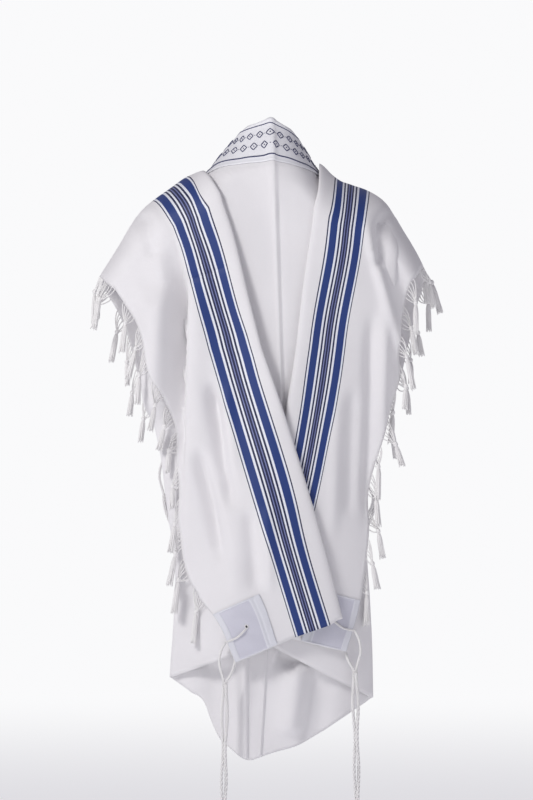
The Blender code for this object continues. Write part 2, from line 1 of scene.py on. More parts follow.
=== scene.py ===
# %% [markdown]
# # A striped prayer shawl, as it hangs from the shoulders
#
# The real thing is one rectangle of white wool, 1.80 m wide and 1.30 m from hem to hem, with a band of blue
# stripes woven in near both ends, a satin neckband, satin corner patches, knotted fringes along the two ends
# and a set of knotted threads at every corner. Its two sides are thrown back over the shoulders, so each side
# lies in three layers down the back.
#
# Cloth like this could be simulated, but a simulation would not land on the folds that we want. So every
# surface here is worked out: a point of the flat cloth goes in, and its place in the air comes out. One such
# function carries the cloth, the neckband, the patches and every thread.

# %% Load the frame
import math

import bpy
import numpy as np
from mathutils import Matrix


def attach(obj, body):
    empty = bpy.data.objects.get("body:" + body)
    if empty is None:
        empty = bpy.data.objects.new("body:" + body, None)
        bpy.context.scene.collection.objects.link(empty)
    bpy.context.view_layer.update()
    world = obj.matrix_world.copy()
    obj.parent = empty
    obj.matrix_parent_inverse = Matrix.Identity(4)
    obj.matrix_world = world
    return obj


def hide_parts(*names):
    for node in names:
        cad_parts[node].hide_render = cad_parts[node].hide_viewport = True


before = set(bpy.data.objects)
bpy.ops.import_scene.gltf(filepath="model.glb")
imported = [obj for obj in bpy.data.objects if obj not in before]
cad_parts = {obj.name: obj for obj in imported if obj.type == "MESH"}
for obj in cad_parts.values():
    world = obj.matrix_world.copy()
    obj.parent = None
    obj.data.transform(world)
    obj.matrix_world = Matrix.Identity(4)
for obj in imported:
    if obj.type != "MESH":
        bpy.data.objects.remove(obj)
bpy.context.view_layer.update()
print("nodes:", ", ".join(sorted(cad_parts)))

# %% [markdown]
# ## The cloth's own sizes
#
# A maker measures the cloth from its middle: where it turns at the side folds, where it turns again at the
# inner folds, where the striped band starts and stops, and where the fringe begins. The stripes of the band
# are listed once, from its edge to its middle, because the band is the same both ways.

# %% Sizes of the flat cloth, in metres from its middle line
CLOTH_SHORT = 1.30
SIDE_FOLD = 0.290
INNER_FOLD = 0.650
BAND_STARTS = 0.672
BAND_ENDS = 0.747
END = 0.900
WALL = 0.0016
TRIM_WALL = 0.0010
ROUND = 0.012
LAYER_AT_SHOULDER = 0.007
LAYER_AT_HEM = 0.010
NECKBAND_WIDTH = 0.088
PATCH_WIDTH = 0.108
PATCH_HEIGHT = 0.100
EYELET_IN = 0.054

# Half of the striped band: width in millimetres, yarn
BAND_STRIPES = [
    (2.3, "navy"), (3.4, "bright"), (13.9, "blue"), (4.0, "bright"), (3.5, "navy"), (3.3, "bright"),
    (3.1, "navy"), (1.8, "lilac"), (1.9, "navy"),
]
half_band = sum(width for width, yarn in BAND_STRIPES)
print(f"half of the band is {half_band:.1f} mm of {1000 * (BAND_ENDS - BAND_STARTS) / 2:.1f} mm")

# %% [markdown]
# ## The figure under the cloth
#
# Cloth takes its shape from what it lies on. The figure is a plain one: a line over the shoulders, seen from
# behind, and a rounded oblong at each height. A smooth curve through a short table is enough for each, and
# one curve function serves all of them.

# %% Curves through tables
def smooth_curve(at, knots, values):
    """A cubic through every row of a table: at each knot the slope is the mean of the slopes beside it."""
    knots, values = np.asarray(knots, float), np.asarray(values, float)
    at = np.clip(at, knots[0], knots[-1])
    slopes = np.gradient(values, knots)
    i = np.clip(np.searchsorted(knots, at, side="right") - 1, 0, len(knots) - 2)
    span = knots[i + 1] - knots[i]
    t = (at - knots[i]) / span
    return (
        values[i] * (1 + 2 * t) * (1 - t) ** 2
        + slopes[i] * span * t * (1 - t) ** 2
        + values[i + 1] * t * t * (3 - 2 * t)
        + slopes[i + 1] * span * t * t * (t - 1)
    )


def ease(t):
    """0 before 0, 1 after 1, and 3 t squared less 2 t cubed between."""
    t = np.clip(t, 0.0, 1.0)
    return t * t * (3 - 2 * t)


def unit(vectors):
    """The same directions, each one metre long."""
    return vectors / np.linalg.norm(vectors, axis=-1, keepdims=True)


def distance_walked(points):
    """The distance along a line of points, from its first one to each."""
    return np.concatenate([[0], np.cumsum(np.linalg.norm(np.diff(points, axis=0), axis=1))])


# %% The figure's tables
# Top of the figure seen from behind: distance out from the spine, height on the left, height on the right
SHOULDER_LINE = np.array([
    (0.000, 0.105, 0.105), (0.030, 0.096, 0.090), (0.060, 0.076, 0.055), (0.092, 0.043, 0.008),
    (0.122, 0.001, -0.018), (0.150, -0.014, -0.030), (0.180, -0.035, -0.042), (0.205, -0.054, -0.059),
    (0.235, -0.083, -0.102), (0.268, -0.131, -0.162), (0.295, -0.177, -0.228), (0.325, -0.231, -0.294),
])
# Height, half width, depth behind, depth in front
FIGURE = np.array([
    (-1.10, 0.226, 0.138, 0.120), (-0.80, 0.222, 0.144, 0.125), (-0.60, 0.232, 0.140, 0.130),
    (-0.42, 0.262, 0.136, 0.132), (-0.32, 0.296, 0.136, 0.130), (-0.20, 0.352, 0.134, 0.124),
    (-0.08, 0.372, 0.126, 0.112), (0.12, 0.372, 0.112, 0.090),
])
ARCH_FOOT = 0.32
# Distance out from the spine, and how far behind the shoulder line the nape stands
NAPE = np.array([
    (0.000, -0.0607), (0.020, -0.0579), (0.036, -0.0500), (0.048, -0.0400), (0.058, -0.0280), (0.067, -0.0160),
    (0.078, -0.0070), (0.092, -0.0015), (0.110, 0.0), (0.40, 0.0),
])
SIDE_ROUNDNESS = 2.2


# %% A point of the figure
def shoulder_height(x):
    """Top of the figure at x, from the left or the right column of its table."""
    left = smooth_curve(np.abs(x), SHOULDER_LINE[:, 0], SHOULDER_LINE[:, 1])
    right = smooth_curve(np.abs(x), SHOULDER_LINE[:, 0], SHOULDER_LINE[:, 2])
    return np.where(x < 0, left, right)


def figure_depth(x, z, front):
    """Half an oblong: the depth at this height times the root of 1 less the share of the width to the power."""
    half_width, behind, ahead = (smooth_curve(z, FIGURE[:, 0], FIGURE[:, i]) for i in (1, 2, 3))
    share = np.clip(np.abs(x) / half_width, 0, 0.985)
    return np.where(front, ahead, -behind) * (1 - share**SIDE_ROUNDNESS) ** (1 / SIDE_ROUNDNESS)


def ridge_plan(x):
    """Where the top of the cloth lies, front to back: round the nape by the table, then along the shoulder."""
    round_nape = smooth_curve(np.abs(x), NAPE[:, 0], NAPE[:, 1])
    return round_nape + 0.02 * ease((np.abs(x) - 0.15) / 0.15)


def arch_sizes(x, front):
    """Top of the arch over the shoulder, drop of its rounding, length of the rounding, length to its foot."""
    top = shoulder_height(x)
    neck = np.exp(-((x / 0.075) ** 2))
    drop = 0.058 + 0.012 * np.exp(-(((np.abs(x) - 0.13) / 0.06) ** 2)) + 0.055 * neck
    reach = np.abs(figure_depth(x, top - drop, front) - ridge_plan(x))
    rounding = math.pi / 2 * np.sqrt((reach**2 + drop**2) / 2)
    return top, drop, rounding, rounding + top - drop + ARCH_FOOT


def figure_point(x, way):
    """way is the height behind, below the foot of the arch, and its opposite in front. Between the two feet it
    is the share of the arch, with 0 on top of the shoulder."""
    front = way > 0
    far = np.abs(way)
    top, drop, rounding, whole = arch_sizes(x, front)
    run = np.minimum(far / ARCH_FOOT, 1.0) * whole
    turn = np.clip(run / rounding, 0, 1)
    neck = np.exp(-((x / 0.075) ** 2)) * ~front
    fall = (1 - neck) * (1 - np.cos(turn * math.pi / 2)) + neck * turn
    swing = (1 - neck) * np.sin(turn * math.pi / 2) + neck * ease(turn) ** 0.8
    z = top - drop * fall - np.clip(run - rounding, 0, None) - np.clip(far - ARCH_FOOT, 0, None)
    middle = ridge_plan(x)
    return np.stack([x + 0 * z, middle + (figure_depth(x, z, front) - middle) * swing, z], axis=-1)


def figure_normal(x, way):
    """The cross product of a small step across the figure and a small step up it."""
    step = 0.004
    across = figure_point(x + step, way) - figure_point(x - step, way)
    along = figure_point(x, way + step) - figure_point(x, way - step)
    return unit(np.cross(across, along))


def way_of(x, z, front):
    """The way coordinate of what is seen at x and z: figure_point turned round."""
    top, drop, rounding, whole = arch_sizes(x, front)
    below = top - z
    on_arch = rounding * 2 / math.pi * np.arccos(np.clip(1 - below / drop, -1, 1))
    run = np.where(below > drop, rounding + below - drop, on_arch)
    far = np.where(z < -ARCH_FOOT, -z, run / whole * ARCH_FOOT)
    return np.where(front, far, -far)


print("back of the neck:", figure_point(np.array(0.0), np.array(-0.05)).round(3))

# %% [markdown]
# ## Where the cloth's lines lie
#
# Five lines of each wing run from the hem behind, over the shoulder, to the edge in front: the side fold, the
# inner fold, both edges of the striped band, and the end. Each is a table of heights and distances from the
# spine. Everything between two lines is spread evenly, as woven cloth does it.

# %% The lines of the two wings
# behind and in front: (height, distance out from the spine); top: distance out on the shoulder
WING_LINES = {
    "left": [
        {"behind": [(-0.931, 0.182), (-0.80, 0.173), (-0.712, 0.172), (-0.660, 0.178), (-0.603, 0.187),
                    (-0.527, 0.197), (-0.472, 0.209), (-0.390, 0.228), (-0.297, 0.238), (-0.23, 0.243)],
         "top": 0.246, "front": [(-0.46, 0.215)]},
        {"behind": [(-0.818, -0.116), (-0.71, -0.092), (-0.60, -0.065), (-0.416, -0.013), (-0.231, 0.041),
                    (-0.1148, 0.0693), (-0.0447, 0.0925), (-0.0233, 0.1002)], "top": 0.124,
         "front": [(-0.22, 0.092), (-0.42, 0.042)]},
        {"behind": [(-0.830, -0.100), (-0.675, -0.0595), (-0.60, -0.045), (-0.38, 0.017), (-0.305, 0.0375),
                    (-0.2507, 0.0555), (-0.1425, 0.0848), (-0.084, 0.1036), (-0.0495, 0.1167),
                    (-0.0342, 0.1285)], "top": 0.1485,
         "front": [(-0.22, 0.112), (-0.434, 0.054)]},
        {"behind": [(-0.852, -0.043), (-0.749, -0.014), (-0.60, 0.030), (-0.38, 0.095), (-0.305, 0.116),
                    (-0.1963, 0.1456), (-0.1345, 0.1629), (-0.1033, 0.1747), (-0.0814, 0.187)], "top": 0.211,
         "front": [(-0.25, 0.165), (-0.474, 0.092)]},
        {"behind": [(-0.899, 0.058), (-0.808, 0.099), (-0.782, 0.122), (-0.749, 0.140), (-0.712, 0.150),
                    (-0.647, 0.157), (-0.564, 0.161), (-0.499, 0.171), (-0.452, 0.179), (-0.406, 0.188),
                    (-0.353, 0.210), (-0.303, 0.223), (-0.238, 0.262)],
         "top": 0.305, "front": [(-0.30, 0.258), (-0.45, 0.214), (-0.56, 0.172)]},
    ],
    "right": [
        {"behind": [(-0.969, 0.186), (-0.86, 0.183), (-0.786, 0.179), (-0.675, 0.173), (-0.60, 0.178),
                    (-0.49, 0.190), (-0.372, 0.209), (-0.25, 0.226)], "top": 0.234, "front": [(-0.46, 0.215)]},
        {"behind": [(-0.838, -0.0555), (-0.70, -0.020), (-0.601, 0.004), (-0.448, 0.031), (-0.294, 0.0537),
                    (-0.213, 0.063), (-0.0619, 0.0842)], "top": 0.0875,
         "front": [(-0.22, 0.084), (-0.42, 0.038)]},
        {"behind": [(-0.841, -0.038), (-0.601, 0.024), (-0.448, 0.052), (-0.287, 0.074), (-0.135, 0.1004),
                    (-0.0734, 0.1073)], "top": 0.113, "front": [(-0.22, 0.102), (-0.434, 0.050)]},
        {"behind": [(-0.851, 0.022), (-0.62, 0.079), (-0.525, 0.099), (-0.372, 0.129), (-0.287, 0.141),
                    (-0.122, 0.170)], "top": 0.179,
         "front": [(-0.25, 0.155), (-0.474, 0.088)]},
        {"behind": [(-0.881, 0.131), (-0.792, 0.155), (-0.675, 0.170), (-0.583, 0.178), (-0.508, 0.190),
                    (-0.444, 0.206), (-0.375, 0.230), (-0.311, 0.229), (-0.2275, 0.250)],
         "top": 0.275, "front": [(-0.30, 0.254), (-0.45, 0.212), (-0.56, 0.170)]},
    ],
}
LINE_PLACES = np.array([SIDE_FOLD, INNER_FOLD, BAND_STARTS, BAND_ENDS, END])
SIGN = {"left": -1.0, "right": 1.0}


def line_table(side, line):
    """One line as knots: way coordinates, and the distance right of the spine at each."""
    behind, front = np.array(line["behind"]), np.array(line["front"])
    x = SIGN[side] * np.concatenate([behind[:, 1], [line["top"]], front[:, 1]])
    z = np.concatenate([behind[:, 0], [0.0], front[:, 0]])
    way = way_of(x, z, np.arange(len(x)) > len(behind))
    way[len(behind)] = 0.0
    return way, x


TABLES = {side: [line_table(side, line) for line in lines] for side, lines in WING_LINES.items()}
for side, tables in TABLES.items():
    print(side, "hem to front edge, as way:", [f"{way[0]:.2f}..{way[-1]:.2f}" for way, x in tables])


# %% Hem and neck edge of the back cloth
# Share of the way from the spine to the side fold, way of the hem on the left and on the right
BACK_HEM = np.array([
    (0.00, -1.074, -1.074), (0.12, -1.080, -1.066), (0.35, -1.058, -1.052), (0.50, -1.036, -1.036),
    (0.60, -1.002, -1.024), (0.64, -0.982, -1.018), (0.80, -0.955, -0.996), (1.00, -0.931, -0.969),
])
# Share of the way to the side fold, way of the neck edge in front of the shoulder's top
NECK_EDGE = np.array([
    (0.00, 0.000), (0.15, 0.000), (0.20, 0.006), (0.25, 0.022), (0.30, 0.045), (0.36, 0.078), (0.42, 0.125),
    (0.49, 0.190), (0.56, 0.250), (0.76, 0.360), (1.00, 0.460),
])

# %% [markdown]
# ## Creases and soft folds
#
# Wool keeps the creases of its last folding, and hangs in a few soft ridges. Each is a row of a table: the
# ridge runs from one point to another, as seen from behind, and rises out of the cloth by a bell curve, or by
# a sharp tent where the cloth was pressed.

# %% Tables of creases
# Columns: x and z of the upper end, x and z of the lower end, half width, height (below 0 for a hollow)
# Hollows and rolls that all the layers share
BODY_RIDGES = np.array([
    (-0.206, -0.22, -0.202, -0.44, 0.030, 0.024),
    (-0.136, -0.24, -0.134, -0.56, 0.022, 0.008),
    (-0.104, -0.40, -0.069, -0.60, 0.012, -0.025),
    (-0.168, -0.50, -0.165, -0.66, 0.018, 0.007),
    (-0.126, -0.52, -0.084, -0.70, 0.012, -0.020),
    (-0.034, -0.63, -0.024, -0.76, 0.012, -0.011),
    (-0.072, -0.50, -0.060, -0.76, 0.018, 0.007),
    (-0.140, -0.77, -0.132, -0.90, 0.013, -0.019),
    (0.184, -0.28, 0.172, -0.62, 0.012, -0.012),
    (0.150, -0.40, 0.138, -0.62, 0.014, -0.008),
    (0.204, -0.080, 0.198, -0.17, 0.010, -0.011),
    (-0.226, -0.085, -0.214, -0.15, 0.012, -0.008),
])
# Folds of the back cloth below the wings
BACK_RIDGES = np.array([
    (0.014, -0.885, 0.050, -0.905, 0.018, -0.010),
    (0.050, -0.91, 0.034, -1.03, 0.022, 0.016),
    (0.084, -0.91, 0.062, -1.04, 0.012, -0.006),
    (0.100, -0.92, 0.085, -1.06, 0.024, -0.010),
    (-0.100, -0.90, -0.112, -1.05, 0.034, -0.015),
])
# Folds of the wings alone
LEFT_RIDGES = np.array([
    (-0.078, -0.40, -0.074, -0.56, 0.012, 0.006),
    (-0.086, -0.56, -0.078, -0.70, 0.012, 0.006),
    (-0.004, -0.62, -0.002, -0.76, 0.010, 0.006),
    (0.004, -0.36, 0.050, -0.50, 0.008, 0.003),
])
RIGHT_RIDGES = np.array([
    (0.176, -0.10, 0.234, -0.32, 0.009, 0.011),
    (0.200, -0.09, 0.262, -0.26, 0.018, -0.011),
    (0.206, -0.26, 0.186, -0.70, 0.011, 0.010),
    (0.120, -0.42, 0.108, -0.66, 0.012, 0.005),
])
# Pressed creases
BACK_PRESSED = np.array([
    (0.003, 0.13, 0.010, -0.08, 0.008, 0.0040),
    (0.009, -0.05, 0.022, -0.46, 0.005, 0.0044),
    (0.016, -0.02, 0.029, -0.46, 0.004, -0.0018),
    (-0.114, 0.001, -0.016, 0.0118, 0.005, 0.0030),
    (-0.016, 0.0118, 0.041, 0.0118, 0.005, 0.0030),
    (0.041, 0.0118, 0.084, 0.001, 0.005, 0.0030),
    (-0.028, -0.931, -0.0074, -0.936, 0.003, 0.0022),
])
LEFT_PRESSED = np.array([
    (-0.150, -0.197, -0.058, -0.163, 0.0060, -0.0016),
    (-0.150, -0.197, -0.058, -0.163, 0.0030, -0.0035),
    (-0.026, -0.686, -0.002, -0.692, 0.0040, 0.0020),
])

def ridges(x, z, table, tent=False):
    """The sum of all rows: height times a bell, or a tent, of the distance from the row's line, faded at its
    ends."""
    relief = np.zeros(np.broadcast(x, z).shape)
    for x1, z1, x2, z2, half_width, height in table:
        length = math.hypot(x2 - x1, z2 - z1)
        along = ((x - x1) * (x2 - x1) + (z - z1) * (z2 - z1)) / length**2
        beside = np.abs((x - x1) * (z2 - z1) - (z - z1) * (x2 - x1)) / length / half_width
        profile = np.exp(-beside) if tent else np.exp(-(beside**2))
        relief += height * profile * ease((along + 0.12) / 0.24) * ease((1.12 - along) / 0.24)
    return relief


# The pleat that parts the sleeve side of the left wing from its flat side: height, x, depth of the valley
SLEEVE_PLEAT = np.array([
    (-0.70, -0.150, 0.000), (-0.62, -0.152, 0.004), (-0.52, -0.156, 0.014), (-0.45, -0.158, 0.034),
    (-0.36, -0.158, 0.055), (-0.28, -0.157, 0.060), (-0.22, -0.156, 0.052), (-0.17, -0.162, 0.026),
    (-0.12, -0.172, 0.000),
])
OUTER_FLANK, INNER_FLANK = 0.040, 0.009
# The box pleat of the hem panel: height, x of its first step, width of its rise, width of a step
BOX_HEIGHT, BOX_STEP_X, BOX_RISE, BOX_STEP = 0.011, -0.0425, 0.032, 0.003


def sleeve_pleat(x, z):
    """A valley with a gentle flank on the outer side and a steep one on the inner side, by the table above."""
    line = smooth_curve(z, SLEEVE_PLEAT[:, 0], SLEEVE_PLEAT[:, 1])
    depth = smooth_curve(z, SLEEVE_PLEAT[:, 0], SLEEVE_PLEAT[:, 2])
    outer = ease(1 - (line - x) / OUTER_FLANK)
    inner = ease(1 - (x - line) / INNER_FLANK)
    return -depth * np.where(x < line, outer, inner)


def box_pleat(x, z):
    """The hem panel rises gently to the right, steps down to a flat strip, and ends in a second sharp step."""
    first, second = BOX_STEP_X, -0.0065 + 0.06 * (z + 0.88)
    rise = ease((x - first + 0.034) / BOX_RISE) * (1 - 0.55 * ease((x - first) / BOX_STEP))
    return BOX_HEIGHT * rise * ease(1 - (x - second) / BOX_STEP) * ease((-z - 0.84) / 0.05)


def body_relief(x, z, behind):
    """The relief that all the layers share: hollows, rolls and the sleeve's pleat."""
    return (ridges(x, z, BODY_RIDGES) + sleeve_pleat(x, z)) * behind


def slow_waves(x, z):
    """Three crossing sine waves of different lengths, so that no part of the cloth is quite flat."""
    return 0.0011 * (np.sin(23 * x + 9 * z) + np.sin(17 * z - 31 * x + 1.3) + np.sin(41 * x + 27 * z + 0.6))


# %% [markdown]
# ## The whole cloth as one function
#
# cloth takes the distance from the middle line and the share of the way from the hem behind to the opposite
# edge. It lays the middle on the figure, turns the cloth round half a circle at each fold, and lifts each
# layer over the one below. The left wing lies over the right one, so it rises two layers where they cross.

# %% Layers
# How far left of the right wing's inner fold the rise begins, and over which width it goes on
LAP_STARTS, LAP_WIDTH = 0.110, 0.100


def layer_step(way):
    """From one layer to the next: close on the shoulder, looser further down."""
    return LAYER_AT_SHOULDER + (LAYER_AT_HEM - LAYER_AT_SHOULDER) * ease((-way - 0.25) / 0.45)


def lap_lift(x, way):
    """Two layers, reached gently from the left, where the left wing crosses the right one."""
    edge_way, edge_x = TABLES["right"][1]
    beyond = x - smooth_curve(way, edge_way, edge_x)
    rise = ease((beyond + LAP_STARTS) / LAP_WIDTH)
    return 2 * layer_step(way) * rise * (way < -0.05) * ease((-way - 0.20) / 0.15)


# %% The back cloth
# The ridge down the spine: x, half width, height
SPINE_X, SPINE_WIDTH, SPINE_HEIGHT = 0.003, 0.022, 0.007
# How far the middle line drifts to the right above the hem panel, and to the left on it
DRIFT_RIGHT, DRIFT_LEFT = 0.012, 0.016


def back_surface(x, way, lift, evenness=1.0):
    """The back cloth's surface over a point of the figure: its folds, the ridge down the middle, then lift."""
    point = figure_point(x, way)
    z = point[..., 2]
    behind = way < 0
    relief = body_relief(x, z, behind) + (ridges(x, z, BACK_RIDGES) + box_pleat(x, z)) * behind
    relief += ridges(x, z, BACK_PRESSED, tent=True) * behind
    ridge = SPINE_HEIGHT * np.exp(-np.abs(x - SPINE_X) / SPINE_WIDTH)
    relief += ridge * ease((z + 0.10) / 0.14) * ease(-way / 0.05)
    relief += slow_waves(x, z) * evenness
    return point + figure_normal(x, way) * (relief + lift)[..., None]


def neck_edge_point(a):
    """x and way of the cloth's top edge."""
    far = np.abs(a) / SIDE_FOLD
    way = smooth_curve(far, NECK_EDGE[:, 0], NECK_EDGE[:, 1])
    left, right = (smooth_curve(way, *TABLES[side][0]) for side in ("left", "right"))
    return np.where(a < 0, left, right) * far, way


def back_part(a, t, lift):
    """The middle of the cloth: x goes evenly out to the side fold, the way evenly from hem to neck edge."""
    far = np.abs(a) / SIDE_FOLD
    hem = np.where(a < 0, smooth_curve(far, BACK_HEM[:, 0], BACK_HEM[:, 1]),
                   smooth_curve(far, BACK_HEM[:, 0], BACK_HEM[:, 2]))
    way = hem + t * (smooth_curve(far, NECK_EDGE[:, 0], NECK_EDGE[:, 1]) - hem)
    left, right = (smooth_curve(way, *TABLES[side][0]) for side in ("left", "right"))
    spine = DRIFT_RIGHT * ease((way + 0.75) / 0.3) * ease(-way / 0.12) - DRIFT_LEFT * ease((-0.75 - way) / 0.3)
    x = np.where(a < 0, left, right) * far + spine * (1 - far)
    return back_surface(x, way, lift, ease((1 - far) / 0.2))


# %% A wing
# How far the inner fold stands off halfway down, half the width of that, and where along the way
FOLD_WIDTH, FOLD_MIDDLE, FOLD_REACH = 0.030, -0.30, 0.13
FOLD_STANDS = {"left": 0.012, "right": 0.005}


def wing_part(side, a, t, lift):
    """From the side fold on. x and way go evenly from line to line. A fold is half a turn of a circle as wide
    as a layer, and adds one layer. Halfway down, the inner fold stands a little off the back."""
    far = np.abs(a)
    ways = np.stack([way[0] + t * (way[-1] - way[0]) for way, x in TABLES[side]])
    places = np.stack([smooth_curve(w, *table) for w, table in zip(ways, TABLES[side])])
    i = np.clip(np.searchsorted(LINE_PLACES, far, side="right") - 1, 0, len(LINE_PLACES) - 2)
    share = (far - LINE_PLACES[i]) / (LINE_PLACES[i + 1] - LINE_PLACES[i])

    def between(values):
        low = np.take_along_axis(values, i[None], axis=0)[0]
        high = np.take_along_axis(values, i[None] + 1, axis=0)[0]
        return low + (high - low) * share

    x, way = between(places), between(ways)
    step = layer_step(way)
    first = np.clip((far - SIDE_FOLD) / ROUND, 0, 1)
    second = np.clip((far - INNER_FOLD + ROUND / 2) / ROUND, 0, 1)
    x = x + SIGN[side] * step / 2 * (np.sin(first * math.pi) - np.sin(second * math.pi))
    out = step * ((1 - np.cos(first * math.pi)) / 2 + (1 - np.cos(second * math.pi)) / 2)
    point = figure_point(x, way)
    z = point[..., 2]
    behind = way < 0
    table = LEFT_RIDGES if side == "left" else RIGHT_RIDGES
    inside = ease((far - INNER_FOLD) / 0.05) * behind
    out = out + body_relief(x, z, behind) + inside * ridges(x, z, table)
    if side == "left":
        out = out + lap_lift(x, way) + inside * ridges(x, z, LEFT_PRESSED, tent=True)
    beside = (x - smooth_curve(way, *TABLES[side][1])) / FOLD_WIDTH
    out = out + FOLD_STANDS[side] * np.exp(-(beside**2)) * np.exp(-(((way - FOLD_MIDDLE) / FOLD_REACH) ** 2))
    out = out + slow_waves(x, z) * ease((far - INNER_FOLD) / 0.04)
    return point + figure_normal(x, way) * (out + lift)[..., None]


# %% The cloth
def cloth(a, t, lift=0.0):
    """Place of a point of the flat cloth: a metres from the middle line (left is negative), t of the way from
    the hem behind to the edge in front, lifted off the outer face."""
    a, t, lift = np.broadcast_arrays(np.asarray(a, float), np.asarray(t, float), np.asarray(lift, float))
    points = back_part(np.clip(a, -SIDE_FOLD, SIDE_FOLD), t, lift)
    for side, sign in SIGN.items():
        mask = sign * a > SIDE_FOLD
        if mask.any():
            points[mask] = wing_part(side, a[mask], t[mask], lift[mask])
    return points


corner = cloth(-END, 0.0)
print("corner behind on the left:", corner.round(3))

# %% [markdown]
# ## Making a mesh from a grid
#
# Every cloth piece is a grid of points. The helper below writes such a grid into a mesh with foreach_set,
# gives it a UV map measured in metres of cloth, so that weave and stripes keep their size on every fold, and
# lets Solidify add the wall.

# %% Mesh helpers
def grid_quads(rows, columns):
    """Four neighbours round each cell of a grid stored row by row."""
    start = (np.arange(rows - 1)[:, None] * columns + np.arange(columns - 1)).ravel()
    return np.stack([start, start + 1, start + columns + 1, start + columns], axis=1)


def new_mesh(name, points, quads, uv=None):
    """A mesh of quads, written as whole arrays, with an optional UV of each point."""
    points = np.asarray(points, float).reshape(-1, 3)
    quads = np.asarray(quads, np.int32)
    mesh = bpy.data.meshes.new(name)
    mesh.vertices.add(len(points))
    mesh.vertices.foreach_set("co", points.ravel())
    mesh.loops.add(quads.size)
    mesh.loops.foreach_set("vertex_index", quads.ravel())
    mesh.polygons.add(len(quads))
    mesh.polygons.foreach_set("loop_start", np.arange(0, quads.size, quads.shape[1], dtype=np.int32))
    mesh.polygons.foreach_set("use_smooth", np.ones(len(quads), bool))
    mesh.update(calc_edges=True)
    if uv is not None:
        layer = mesh.uv_layers.new(name="cloth")
        layer.data.foreach_set("uv", np.asarray(uv, float).reshape(-1, 2)[quads.ravel()].ravel())
    return mesh


def add_piece(mesh, material, nodes=(), wall=None):
    """Put a mesh in the scene at the origin, tie it to the shawl's body and give it a material."""
    piece = bpy.data.objects.new(mesh.name, mesh)
    bpy.context.scene.collection.objects.link(piece)
    mesh.materials.append(material)
    if wall:
        solidify = piece.modifiers.new("wall", "SOLIDIFY")
        solidify.thickness = wall
        solidify.offset = 0.0
    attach(piece, "root")
    if nodes:
        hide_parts(*nodes)
    return piece


def graded(stops, counts):
    """Even steps between one stop and the next, in one row of numbers."""
    parts = [np.linspace(a, b, n, endpoint=False) for a, b, n in zip(stops, stops[1:], counts)]
    return np.concatenate(parts + [[stops[-1]]])


def cloth_grid(a, t, lift=0.0):
    """Points over rows t and columns a, with the quads turned to face out of the cloth, and UV in metres."""
    points = cloth(a[None, :], t[:, None], lift)
    steps = np.linalg.norm(np.diff(points, axis=0), axis=2)
    along = np.concatenate([np.zeros((1, len(a))), np.cumsum(steps, axis=0)])
    along = along + t[0] * CLOTH_SHORT
    uv = np.stack([np.broadcast_to(a, along.shape), along], axis=-1)
    return points, grid_quads(len(t), len(a)), uv


# %% [markdown]
# ## Node trees in a few lines
#
# Every material here is a small tree of nodes. Adding a node, setting it and linking it takes several lines
# each time, so one helper does it. It makes the node, sets its properties, and then goes through the inputs
# it is given: a socket is linked, a plain value is set.

# %% Helpers for node trees
def feed(tree, socket, value):
    """Link an output to the socket, or set a plain value on it."""
    if isinstance(value, bpy.types.NodeSocket):
        tree.links.new(value, socket)
    else:
        socket.default_value = value


def node_maker(tree):
    """A function that adds a node of a kind to the tree, with inputs by name or number, and properties."""
    def make(kind, inputs=None, **properties):
        node = tree.nodes.new("ShaderNode" + kind)
        for name, value in properties.items():
            setattr(node, name, value)
        for name, value in (inputs or {}).items():
            feed(tree, node.inputs[name], value)
        return node

    return make


def math_of(make, operation, *values):
    """The result of a Math node on sockets or numbers."""
    return make("Math", dict(enumerate(values)), operation=operation).outputs[0]


def colour_mix(make, factor, first, second, blend_type="MIX"):
    """The result of mixing two colours, or two sockets that carry colours."""
    inputs = {"Factor": factor, "A": first, "B": second}
    return make("Mix", inputs, data_type="RGBA", blend_type=blend_type).outputs["Result"]


def cloth_place(make):
    """The cloth's own coordinates in metres: the UV socket, and its two parts."""
    uv = make("UVMap", uv_map="cloth").outputs["UV"]
    parts = make("SeparateXYZ", {0: uv}).outputs
    return uv, parts[0], parts[1]


def new_material(name):
    """A material with its tree, the node maker of that tree, and the inputs of its Principled shader."""
    material = bpy.data.materials.new(name)
    material.use_nodes = True
    tree = material.node_tree
    return material, tree, node_maker(tree), tree.nodes["Principled BSDF"].inputs


print("node helpers ready")

# %% [markdown]
# ## Weave, shared by all the cloths
#
# Wool and satin are both woven, only finer or coarser. The weave is therefore one node group: two trains of
# waves across the UV make the threads, and noise makes them uneven. It puts out a height for a Bump node, and
# a shade.

